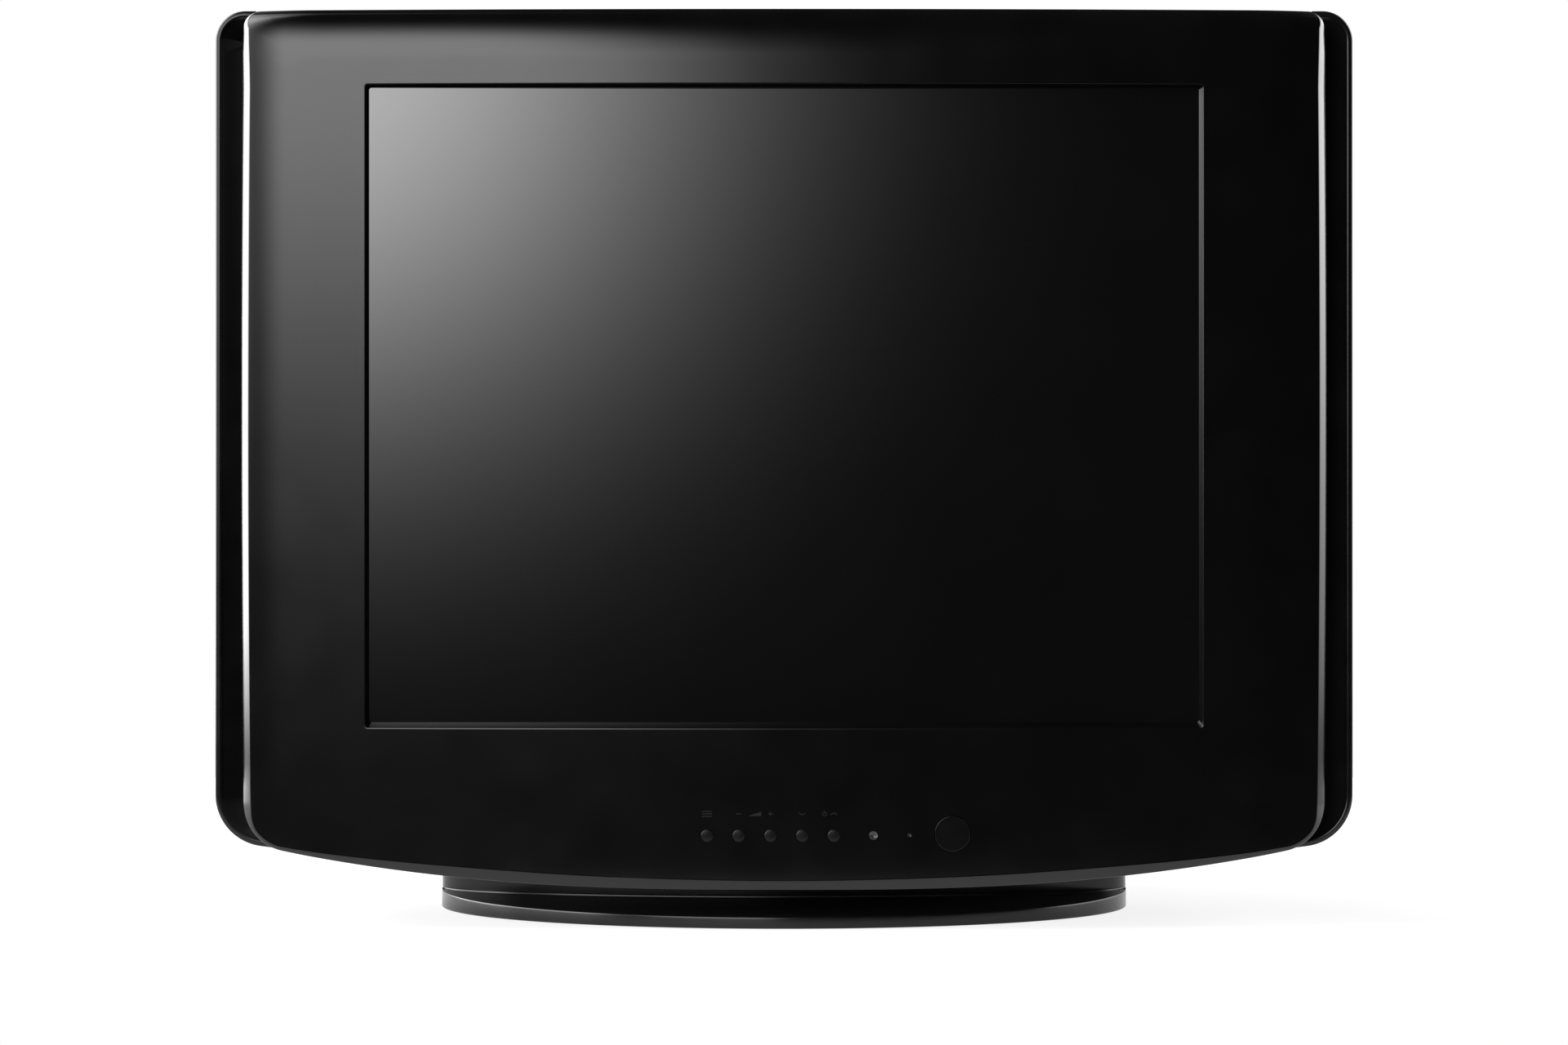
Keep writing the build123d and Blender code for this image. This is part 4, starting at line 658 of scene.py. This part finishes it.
# %% [markdown]
# ## Slots by Geometry Nodes
# The sound slots in both sides and the air slots of the cover are the same thing: rows of slots with
# rounded ends. One node tree makes the cutters for all of them: a rectangle gets its corners rounded,
# is filled and pushed to a depth, and is set on the points of a grid. Its inputs have names, so every
# use only says how many, how far apart and how large.

# %% Node tree helpers
def new_tree(name, **inputs):
    """Geometry Nodes tree with named inputs, and its group input node."""
    tree = bpy.data.node_groups.new(name, "GeometryNodeTree")
    tree.is_modifier = True
    tree.interface.new_socket("Geometry", in_out="OUTPUT", socket_type="NodeSocketGeometry")
    for label, kind in inputs.items():
        tree.interface.new_socket(label, in_out="INPUT", socket_type="NodeSocket" + kind)
    return tree, tree.nodes.new("NodeGroupInput").outputs


def on_grid(tree, given, shape):
    """Sets a shape on the points of a grid, with the whole grid turned and moved into place."""
    grid = add_node(
        tree,
        "GeometryNodeMeshGrid",
        joined(tree, "MULTIPLY", joined(tree, "SUBTRACT", given["Columns"], 1.0), given["Across"]),
        joined(tree, "MULTIPLY", joined(tree, "SUBTRACT", given["Rows"], 1.0), given["Up"]),
        given["Columns"],
        given["Rows"],
    )
    rows = add_node(tree, "GeometryNodeInstanceOnPoints", Points=grid, Instance=shape)
    return add_node(
        tree, "GeometryNodeTransform", Geometry=rows, Translation=given["Place"], Rotation=given["Turn"]
    )


def close_tree(tree, given, instances):
    """Ends a tree: makes the instances real and gives them the material."""
    real = add_node(tree, "GeometryNodeRealizeInstances", Geometry=instances)
    painted = add_node(tree, "GeometryNodeSetMaterial", Geometry=real, Material=given["Material"])
    tree.links.new(painted, tree.nodes.new("NodeGroupOutput").inputs[0])


def grow(name, tree, mesh=None, **inputs):
    """Plain mesh piece grown by a tree; lengths are in millimetres and the turn in degrees."""
    piece = bpy.data.objects.new(name, mesh or bpy.data.meshes.new(name))
    scene.collection.objects.link(piece)
    growth = piece.modifiers.new("growth", "NODES")
    growth.node_group = tree
    inputs["Turn"] = tuple(math.radians(angle) for angle in inputs["Turn"])
    for item in tree.interface.items_tree:
        if item.in_out == "INPUT" and item.name in inputs:
            value = inputs[item.name]
            growth[item.identifier] = value * MM if item.socket_type == "NodeSocketFloat" else value
    settle(piece)
    print(name, "grown to", len(piece.data.polygons), "faces")
    return piece


# %% Slot tree
GRID = {"Columns": "Int", "Rows": "Int", "Across": "Float", "Up": "Float", "Place": "Vector"}
LOOK = {"Turn": "Vector", "Material": "Material"}
slot_tree, given = new_tree(
    "slots", Length="Float", Width="Float", Corner="Float", Reach="Float", **GRID, **LOOK
)
flat = add_node(
    slot_tree, "GeometryNodeCurvePrimitiveQuadrilateral", Width=given["Length"], Height=given["Width"]
)
arcs, whole = {"mode": "POLY"}, {"mode": "NGONS"}
corner = given["Corner"]
rounded = add_node(slot_tree, "GeometryNodeFilletCurve", settings=arcs, Curve=flat, Count=5, Radius=corner)
filled = add_node(slot_tree, "GeometryNodeFillCurve", settings=whole, Curve=rounded)
pushed = add_node(slot_tree, "GeometryNodeExtrudeMesh", Mesh=filled, Offset_Scale=given["Reach"])
turned_over = add_node(slot_tree, "GeometryNodeFlipFaces", Mesh=filled)
both_ends = add_node(slot_tree, "GeometryNodeJoinGeometry", Geometry=pushed)
slot_tree.links.new(turned_over, slot_tree.nodes[-1].inputs[0])
sealed = add_node(slot_tree, "GeometryNodeMergeByDistance", Geometry=both_ends, Distance=SAME_PLACE)
close_tree(slot_tree, given, on_grid(slot_tree, given, sealed))


def slots(columns, rows, place, turn, **sizes):
    """Cutter for rows of slots, with the sizes as the tree names them."""
    grid = {"Columns": columns, "Rows": rows, "Place": tuple(to_frame(place))}
    return grow("cutter", slot_tree, Turn=turn, Material=casing_black, **grid, **sizes)


# %% Cut the cabinet
SIDE_SLOT = {"Across": 1, "Up": 9.0, "Length": 42, "Width": 3, "Corner": 1.49, "Reach": 13}
SLOT_COUNT, SLOT_DEPTH, SLOT_HEIGHT = 11, 88.0, 135.0
SLOT_STARTS = (272.0, -285.0)  # from each, a row reaches to the right, through one side
side_slots = [
    slots(1, SLOT_COUNT, (start, SLOT_DEPTH, SLOT_HEIGHT), (90, 0, 90), **SIDE_SLOT)
    for start in SLOT_STARTS
]
room_cutter = skin("cutter", [ring(room, rim_depth - 20), ring(room, rim_depth + DISH)])
cut(front_cabinet, [room_cutter, *side_slots])
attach(front_cabinet, "set")
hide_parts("front_cabinet")

# %% [markdown]
# ## The rear cover
# The cover is a funnel of flat flanks around the tube: wide at the seam, a break at the shoulder, and a
# small upright back. It is a block from which the room is taken out; the room leaves round pillars for
# the screws. Air slots, screw pockets and the openings for sockets and cord are cut last.

# %% Cover
SHOULDER, SEAM, PILLAR, POCKET, HEAD = 235.0, 0.3, 6.0, 4.3, 2.5
SHOULDER_SIZE = (200, 395, 26, 10)  # half width, top, bottom and the bow of the bottom
BACK_SIZE = (125, 312, 36, 3)
COVER_CORNER = 20
AIR_SLOT = {"Across": 52, "Up": 9, "Length": 44, "Width": 3, "Corner": 0.6}
AIR_START = 60  # the rows above and below are centred this far before the back
AERIAL_HOLE, GLAND_HOLE = 6.8, 6.1
head_seat = depths("cover_screws")[1] - HEAD
cover_start = seam_depth + SEAM
seam_outline = cabinet_outline(seam_depth)


def cover_rings(inwards, start, end):
    """Seam, shoulder and back outlines of the cover, taken in by a wall."""
    rings = [ring(inset(seam_outline, inwards), start)]
    for depth, (half, top, bottom, rise) in ((SHOULDER, SHOULDER_SIZE), (end, BACK_SIZE)):
        corner = COVER_CORNER - inwards
        loop = casing(half - inwards, top - inwards, bottom + inwards, rise, corner, corner)
        rings.append(ring(loop, depth))
    return rings


def middles(node):
    """Middles, as (x, depth, z) in millimetres, of the separate solids in a node."""
    work = bmesh.new()
    work.from_mesh(nodes[node].data)
    bmesh.ops.remove_doubles(work, verts=work.verts, dist=SAME_PLACE)
    left = set(work.verts)
    found = []
    while left:
        group, edge = [], [left.pop()]
        while edge:
            here = edge.pop()
            group.append(here.co.copy())
            for link in here.link_edges:
                other = link.other_vert(here)
                if other in left:
                    left.remove(other)
                    edge.append(other)
        places = np.array(group)
        found.append(tuple((places.min(0) + places.max(0)) / 2 / MM - (0, front_y / MM, 0)))
    work.free()
    return sorted(found)


cover_screw_places = [(x, z) for x, _, z in middles("cover_screws")]
outer_rings = soften(cover_rings(0, cover_start, set_depth), [0, 5, 2.5], 5)
rear_cover = skin("cover_moulding", outer_rings, grained_black)
hollow = skin("hollow", cover_rings(WALL, cover_start - 2, set_depth - WALL))
cut(hollow, [pin(place, PILLAR, cover_start - 3, cover_start + 20, 32) for place in cover_screw_places])
through_back = set_depth - 8, set_depth + 1
jack_middle, jack_size = middle_and_size("jack_panel")
jack_half = jack_size / 2 + SEAM
jack_opening = rectangle(2 * jack_half[0], 2 * jack_half[2], jack_middle[2], 1.0) + (jack_middle[0], 0)
openings = [
    hollow,
    slots(3, 9, (0, set_depth - AIR_START, 292), (0, 0, 0), Reach=180, **AIR_SLOT),
    slots(2, 5, (0, set_depth - AIR_START, 10), (0, 0, 0), Reach=34, **AIR_SLOT),
    slots(3, 11, (0, set_depth + 1, screen_z - 20), (90, 0, 0), Reach=12, **AIR_SLOT),
    skin("cutter", [ring(jack_opening, depth) for depth in through_back]),
]
for node, radius in (("tuner", AERIAL_HOLE), ("cord_gland", GLAND_HOLE)):
    openings.append(pin(middle_and_size(node)[0][[0, 2]], radius, *through_back, 48))
openings += [pin(place, POCKET, head_seat, head_seat + 40, 48) for place in cover_screw_places]
cut(rear_cover, openings)
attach(rear_cover, "set")
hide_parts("rear_cover")

# %% [markdown]
# ## The stand
# The foot is an oval plate with a thin upright rim and a satin top that rises to a small ledge round
# the neck; the top is also made darker than the casing, which is painted shade. The last bit of the rim
# and the ledge lean back a little, and so each catches a line of light. The neck is an oval wall whose
# upper end follows the bowed underside of the casing. Both are made from oval rings, so that the rim
# and the ledge stay perfectly smooth.

# %% Foot and neck
NECK_REACH, NECK_SKIN, FOOT_RIM, FOOT_CREST = 60.0, 3.5, 5.8, 9.4
TOP_ROWS, LEDGE, LEDGE_RISE = 20, 1.1, 0.9
FOOT_EDGE = 0.3  # chamfer along the underside
RIM_FACET, RIM_LEAN, END_LEAN = 0.8, 0.08, 0.12  # the last bit of the rim, and how far it leans in
LEDGE_LEAN, LEDGE_END = 0.15, 0.25
HAIR = 0.03  # the foot ends this far below the neck
LEVEL = 0.97  # faces whose normals point up more than this get the satin finish, whose darker colour is painted shade
foot_middle, foot_size = middle_and_size("stand_foot")
foot_half, foot_reach, foot_depth = foot_size[0] / 2, foot_size[1] / 2, foot_middle[1]
foot_low = foot_middle[2] - foot_size[2] / 2
neck_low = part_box("stand_neck")[0].z / MM


def oval(half, reach, height, count=256):
    """Level oval ring about the middle of the foot; height is a number or a rule of x and y."""
    x, y = (circle(count) * (half, reach)).T
    z = height(x, y) if callable(height) else np.full(count, height)
    return np.column_stack((x, y + foot_depth, z))


def foot_level(share, above=0.0):
    """Rule for the height of the foot's top, from its rim (share 0) to the neck (share 1)."""
    def height(x, y):
        along = np.abs(y) / max(abs(y).max(), 1e-9)
        rim = FOOT_CREST - (FOOT_CREST - FOOT_RIM) * along
        return (1 - share) * rim + share * (neck_low - LEDGE_RISE) + above

    return height


def casing_bottom(x, y):
    """Height of the casing's underside at a place, where the neck meets it."""
    depth = y + foot_depth
    drawn = TAPER * np.clip((depth - rim_depth) / (seam_depth - rim_depth), 0, 1)
    cabinet = CABINET_BOTTOM + drawn + CABINET_RISE * (x / (cabinet_half - drawn)) ** 2
    half, _, bottom, rise = SHOULDER_SIZE
    shoulder = bottom + rise * (x / half) ** 2
    share = np.clip((depth - seam_depth) / (SHOULDER - seam_depth), 0, 1)
    return (1 - share) * cabinet + share * shoulder - 0.05


foot_rings = [
    oval(foot_half - FOOT_EDGE, foot_reach - FOOT_EDGE, foot_low),
    oval(foot_half, foot_reach, foot_low + FOOT_EDGE),
    oval(foot_half, foot_reach, foot_level(0, -RIM_FACET)),
]
for share in np.linspace(0, 1, TOP_ROWS):
    reach = foot_reach - RIM_LEAN + share * (NECK_REACH + LEDGE - foot_reach)
    foot_rings.append(oval(foot_half - RIM_LEAN - END_LEAN * share, reach, foot_level(share)))
foot_rings.append(oval(foot_half - LEDGE_END, NECK_REACH + LEDGE - LEDGE_LEAN, neck_low - HAIR))
foot_rings.append(oval(foot_half - 4, NECK_REACH - 3, neck_low - HAIR))
reaches = [0, 0, 0, 0.15] + [0] * (TOP_ROWS - 1) + [0.1, 0]
stand_foot = skin("foot_plate", soften(foot_rings, reaches, 5), casing_black)
# the foot's upward faces get the satin finish, whose darker colour and weaker reflection are painted shade
stand_foot.data.materials.append(satin_casing)
for face in stand_foot.data.polygons:
    painted_shade_face = face.normal.z > LEVEL and face.center.z > foot_low * MM
    face.material_index = int(painted_shade_face)
neck_rings = [
    oval(foot_half - NECK_SKIN, NECK_REACH - NECK_SKIN, neck_low),
    oval(foot_half, NECK_REACH, neck_low),
    oval(foot_half, NECK_REACH, casing_bottom),
    oval(foot_half - NECK_SKIN, NECK_REACH - NECK_SKIN, casing_bottom),
]
stand_neck = skin("neck_wall", soften(neck_rings, [0, 0.25, 0, 0], 5), casing_black, closed=True)
for piece, node in ((stand_foot, "stand_foot"), (stand_neck, "stand_neck")):
    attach(piece, "set")
    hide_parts(node)

# %% [markdown]
# ## Keys, power button, lens and lamp
# These are turned forms: a profile of radius against depth, spun about an axis that runs into the panel.
# They could be plain discs, but the faint crowns and the small rounded edges catch the light and tell
# the eye that they can be pressed.

# %% Turned pieces
satin_black = finish("satin_black", (0.005, 0.005, 0.0052), 0.22, grain=300, spread=0.04, IOR=1.33)
button_black = finish("button_black", (0.0035, 0.0035, 0.0036), 0.12, grain=120, spread=0.02, IOR=1.43)
smoked_lens = finish("smoked_lens", (0.045, 0.044, 0.046), 0.09, grain=120, spread=0.02, IOR=1.49)
lamp_lens = finish("lamp_lens", (0.016, 0.016, 0.0165), 0.09, grain=120, spread=0.02, IOR=1.4)
SMALL_ANGLE = 35.0  # as SMOOTH_ANGLE, for turned pieces and screws
KEY_CROWN, KEY_ROUND = 0.1, 0.4
FLANGE_START, FLANGE_END, FLANGE, STEM = 4.3, 5.6, 4.25, 1.5  # behind the key's top
POWER_ROUND, POWER_SKIN, POWER_SKIRT, POWER_STEM = 0.22, 1.5, 7, 3.0
COLLAR_START, COLLAR_END, COLLAR = 3.1, 6.0, 1.0  # behind the lens and the lamp


def turned(name, node, profile, material, body="set", count=64):
    """Piece spun about the middle of a node from (radius, depth) pairs; it stands for that node."""
    middle = middle_and_size(node)[0]
    rings = [ring(circle(count) * radius + middle[[0, 2]], depth) for radius, depth in profile]
    piece = skin(name, rings, material, smooth_angle=SMALL_ANGLE)
    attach(piece, body)
    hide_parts(node)


def edge_round(radius, depth, size, steps=5):
    """Profile of a rounded front edge."""
    turns = np.linspace(0, math.pi / 2, steps)
    return [(radius - size + size * math.sin(t), depth + size * (1 - math.cos(t))) for t in turns]


for key in KEY_NODES:
    start, end = depths(key)
    shares = np.linspace(0.06, 0.96, 9)
    crown = [(share * (key_radius - KEY_ROUND), start + KEY_CROWN * share**2) for share in shares]
    crown += edge_round(key_radius, start + KEY_CROWN, KEY_ROUND, 6)
    shank = [(key_radius, start + FLANGE_START), (FLANGE, start + FLANGE_START)]
    shank += [(FLANGE, start + FLANGE_END), (STEM, start + FLANGE_END), (STEM, end)]
    turned(key + "_cap", key, crown + shank, satin_black, key)

start, end = depths("power_button")
inside = power_radius - POWER_SKIN
# two rings close to the edge keep the face flat where it is shaded smooth
face = [(0.2, start + 0.02), (4.0, start + 0.01), (power_radius - 0.8, start), (power_radius - 0.4, start)]
skirt = [(power_radius, start + POWER_SKIRT), (inside, start + POWER_SKIRT), (inside, start + POWER_SKIN)]
stem = [(POWER_STEM, start + POWER_SKIN), (POWER_STEM, end)]
profile = face + edge_round(power_radius, start, POWER_ROUND, 6) + skirt + stem
turned("power_cap", "power_button", profile, button_black, "power_button", 128)

for node, radius, clear in (("sensor_lens", 2.15, smoked_lens), ("lamp_guide", 1.0, lamp_lens)):
    start, end = depths(node)
    wide, first, last = radius + COLLAR, start + COLLAR_START, start + COLLAR_END
    dish = [(r * radius, start + 0.3 * radius * (1 - (r / 0.9) ** 2)) for r in np.linspace(0.05, 0.9, 8)]
    collar = [(radius, first), (wide, first), (wide, last), (radius, last)]
    profile = dish + edge_round(radius, start, 0.1 * radius) + collar + [(radius, end)]
    turned(node + "_rod", node, profile, clear)

# %% [markdown]
# ## Printed marks
# Small grey pictograms stand over the keys: three bars, minus, a volume wedge, plus, two chevrons and a
# standby circle. They are screen printed, so each is a film a few hundredths of a millimetre thick
# that follows the bow of the panel.

# %% Marks
MARK_HEIGHT = 56.8
STROKE, THIN = 0.45, 0.38  # widths of the printed lines
MENU_WIDTH, MENU_STEP = 5.0, 1.2
SIGN, SIGN_GAP = 2.6, 0.76  # minus and plus, and where the plus has its upright halves
STANDBY_OFFSET, STANDBY_RADIUS = 4.6, 1.25
print_grey = finish("print_grey", (0.008, 0.008, 0.0083), 0.4, grain=1500, spread=0.05, IOR=1.3)


def bar(x, z, width, height):
    """Outline of a printed bar."""
    right, up = width / 2, height / 2
    return [(x - right, z - up), (x + right, z - up), (x + right, z + up), (x - right, z + up)]


def chevron(x, z, way):
    """Outline of a printed chevron that points up or down."""
    points = ((-1.65, -0.7), (0, 0.25), (1.65, -0.7), (1.65, -0.2), (0, 0.75), (-1.65, -0.2))
    return [(x + across, z + way * up) for across, up in points]


def open_circle(x, z, radius, width, gap=0.6, count=20):
    """Outline of a printed circle that is open at the top."""
    turns = np.linspace(math.pi / 2 + gap, 2.5 * math.pi - gap, count)
    outside = [(x + radius * math.cos(t), z + radius * math.sin(t)) for t in turns]
    inside = [(x + (radius - width) * math.cos(t), z + (radius - width) * math.sin(t)) for t in turns]
    return outside + inside[::-1]


def film(name, outlines, material):
    """Thin printed shapes on the front of the panel."""
    points, faces = [], []
    for shape in outlines:
        faces += run_faces(len(points), len(shape), 2)
        for lift in (0.02, -0.03):
            points += [(x, FRONT_BOW * (x / panel_half) ** 2 + lift, z) for x, z in shape]
    return new_piece(name, np.array(points), faces, material)


menu_x, minus_x, plus_x, down_x, up_x = key_places
wedge_x = (minus_x + plus_x) / 2
shapes = [bar(menu_x, MARK_HEIGHT + step, MENU_WIDTH, STROKE) for step in (-MENU_STEP, 0, MENU_STEP)]
shapes += [bar(x, MARK_HEIGHT, SIGN, STROKE) for x in (minus_x, plus_x)]
shapes += [bar(plus_x, MARK_HEIGHT + step, STROKE, 1.05) for step in (SIGN_GAP, -SIGN_GAP)]
wedge = ((-3.3, -1.1), (3.3, -1.1), (3.3, 1.1))
shapes.append([(wedge_x + across, MARK_HEIGHT + up) for across, up in wedge])
shapes += [chevron(down_x, MARK_HEIGHT, -1), chevron(up_x, MARK_HEIGHT, 1)]
standby_x = up_x - STANDBY_OFFSET
shapes.append(open_circle(standby_x, MARK_HEIGHT, STANDBY_RADIUS, THIN))
shapes.append(bar(standby_x, MARK_HEIGHT + 0.8, THIN, 1.5))
key_marks = film("key_marks", shapes, print_grey)
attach(key_marks, "set")

# %% [markdown]
# ## Screws and sockets
# All screws are one tree: a domed head with a crossed recess, set on the points of a small mesh. The
# recess is a dip in a height rule, fine enough to shade as a cross. The sockets at the back are rings
# made by running a small circle round a larger one, set out on a grid.

# %% Screw tree
# the crossed recess, as shares of the head's radius: arm, its soft side, its length and soft end
ARM, ARM_SIDE, ARM_LENGTH, ARM_END = 0.10, 0.05, 0.62, 0.1
FALL = 0.55  # depth of the recess, and of the dome's edge, as a share of the head's height
zinc = finish("zinc", (0.52, 0.52, 0.53), 0.32, grain=700, spread=0.06, stretch=(1, 1, 6), Metallic=1.0)


def screw_master(head_radius, head_height, shank_radius, shank_length, count=64):
    """Screw along z, head upwards from zero, with a crossed recess."""
    around = circle(count)
    arm = np.abs(around).min(axis=1)
    rings = []
    for share in np.linspace(0.04, 1, 16):
        r = share * head_radius
        near_arm = np.clip(1 - (arm * share - ARM) / ARM_SIDE, 0, 1)
        near_arm = near_arm * np.clip((ARM_LENGTH - share) / ARM_END, 0, 1)
        top = head_height * (1 - FALL * share**4) - FALL * head_height * near_arm
        rings.append(np.column_stack((around * r, top)))
    for r, z in ((head_radius, 0), (shank_radius, 0), (shank_radius, -shank_length)):
        rings.append(np.column_stack((around * r, np.full(count, float(z)))))
    piece = skin("screw_master", rings, zinc)
    piece.data.transform(Matrix.Translation((0, -front_y, 0)))
    return piece


screw_tree, given = new_tree("screws", Points="Geometry", Master="Object", **LOOK)
master = screw_tree.nodes.new("GeometryNodeObjectInfo")
screw_tree.links.new(given["Master"], master.inputs["Object"])
set_out = add_node(
    screw_tree, "GeometryNodeInstanceOnPoints", Points=given["Points"], Instance=master.outputs["Geometry"]
)
turned_out = add_node(screw_tree, "GeometryNodeRotateInstances", Instances=set_out, Rotation=given["Turn"])
close_tree(screw_tree, given, turned_out)


def screws(node, places, turn, head, shank):
    """Screws at (x, depth, z) places; head and shank are (radius, length) in millimetres."""
    points = bpy.data.meshes.new(node + "_points")
    points.from_pydata(to_frame(places).tolist(), [], [])
    pattern = screw_master(*head, *shank)
    piece = grow(node + "_set", screw_tree, points, Master=pattern, Turn=turn, Material=zinc)
    piece.data.shade_smooth()
    piece.data.set_sharp_from_angle(angle=math.radians(SMALL_ANGLE))
    bpy.data.objects.remove(pattern)
    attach(piece, "set")
    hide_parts(node)


screw_low, screw_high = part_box("cover_screws")
cover_length = (screw_high.y - screw_low.y) / MM
cover_places = [(x, head_seat, z) for x, z in cover_screw_places]
screws("cover_screws", cover_places, (-90, 0, 0), (3.9, 2.4), (1.4, cover_length - HEAD))
stand_low, stand_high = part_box("stand_screws")
head_top = stand_low.z / MM + 3.0
foot_places = [(x, depth, head_top) for x, depth, _ in middles("stand_screws")]
screws("stand_screws", foot_places, (180, 0, 0), (4.9, 2.9), (2.4, stand_high.z / MM - head_top - 0.2))

# %% Socket tree
ring_tree, given = new_tree("socket_rings", Radius="Float", Thickness="Float", **GRID, **LOOK)
path = add_node(ring_tree, "GeometryNodeCurvePrimitiveCircle", Resolution=48, Radius=given["Radius"])
section = add_node(ring_tree, "GeometryNodeCurvePrimitiveCircle", Resolution=16, Radius=given["Thickness"])
sleeve = add_node(ring_tree, "GeometryNodeCurveToMesh", Curve=path, Profile_Curve=section)
smooth = add_node(ring_tree, "GeometryNodeSetShadeSmooth", Geometry=sleeve)
close_tree(ring_tree, given, on_grid(ring_tree, given, smooth))

SOCKET_PITCH = 16
COLOUR_RING, SLEEVE_RING = (4.75, 0.55), (1.75, 0.35)  # radius and thickness
BACK_GAP = 0.05  # the rings end this far before the back of the set
SOCKET_COLOURS = (
    ("yellow", (0.72, 0.5, 0.02)),
    ("white", (0.7, 0.7, 0.68)),
    ("red", (0.5, 0.02, 0.015)),
    ("green", (0.02, 0.28, 0.05)),
    ("blue", (0.02, 0.07, 0.42)),
)


def socket_rings(name, columns, radius, thickness, x, material):
    """Two rows of rings on the socket panel."""
    piece = grow(
        name,
        ring_tree,
        Radius=radius,
        Thickness=thickness,
        Columns=columns,
        Rows=2,
        Across=SOCKET_PITCH,
        Up=SOCKET_PITCH,
        Place=tuple(to_frame((x, set_depth - thickness - BACK_GAP, jack_middle[2]))),
        Turn=(90, 0, 0),
        Material=material,
    )
    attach(piece, "set")


for k, (colour, paint_colour) in enumerate(SOCKET_COLOURS):
    coloured = finish("socket_" + colour, paint_colour, 0.4, grain=500, spread=0.05)
    socket_rings("socket_ring_" + colour, 1, *COLOUR_RING, jack_middle[0] + (k - 2) * SOCKET_PITCH, coloured)
socket_rings("socket_sleeves", len(SOCKET_COLOURS), *SLEEVE_RING, jack_middle[0], zinc)

# %% [markdown]
# ## Finishes on the pieces inside
# Everything else keeps the model's own mesh and gets the finish of its material slot. Most of it is
# seen through slots and openings only, but a set that is opened has to look right too: brown boards,
# copper coils, dark graphite on the funnel, bare aluminium on the heatsinks.

# %% Finishes by slot
# name, colour, roughness, grain, spread, bump and stretch for each slot that has no finish yet
FINISHES = {
    "rubber": ("rubber", (0.012, 0.012, 0.012), 0.75, 1500, 0.08, 0.02),
    "funnel_glass": ("graphite", (0.012, 0.012, 0.013), 0.62, 250, 0.1, 0.02),
    "dark_steel": ("dark_steel", (0.03, 0.03, 0.032), 0.5, 600, 0.08),
    "gun_steel": ("gun_steel", (0.6, 0.6, 0.6), 0.28, 900, 0.05),
    "socket_plastic": ("nylon", (0.42, 0.4, 0.34), 0.5, 500, 0.06),
    "yoke_plastic": ("yoke_plastic", (0.66, 0.63, 0.54), 0.48, 400, 0.06),
    "ferrite": ("ferrite", (0.035, 0.035, 0.037), 0.7, 1200, 0.08, 0.03),
    "copper": ("copper_wire", (0.55, 0.22, 0.09), 0.36, 160, 0.06, 0.15, (1, 12, 1)),
    "coil_tape": ("coil_tape", (0.018, 0.018, 0.018), 0.6, 220, 0.08, 0.1),
    "board": ("board", (0.24, 0.14, 0.055), 0.5, 260, 0.08),
    "inner_plastic": ("inner_plastic", (0.022, 0.022, 0.023), 0.45, 700, 0.06, 0.01),
    "aluminium": ("aluminium", (0.7, 0.7, 0.72), 0.38, 300, 0.08, 0.0, (1, 1, 12)),
    "transformer": ("tape_yellow", (0.42, 0.33, 0.06), 0.5, 300, 0.08),
    "speaker_steel": ("speaker_steel", (0.02, 0.02, 0.021), 0.42, 500, 0.06),
    "cone_paper": ("cone_paper", (0.028, 0.028, 0.027), 0.85, 900, 0.08, 0.06),
}
METALS = ("dark_steel", "gun_steel", "copper", "aluminium")
finishes = {
    "gloss_black": piano_black,
    "cabinet_black": casing_black,
    "cover_black": grained_black,
    "key_black": satin_black,
    "screen_glass": tinted_glass,
    "lens": smoked_lens,
    "steel": zinc,
}
for slot, row in FINISHES.items():
    finishes[slot] = finish(*row, Metallic=float(slot in METALS))
for part in frame["record"]["subparts"]:
    mesh = nodes[part["node"]].data
    mesh.materials.clear()
    mesh.materials.append(finishes[part["material_slot"]])
print("finishes on", len(nodes), "nodes")
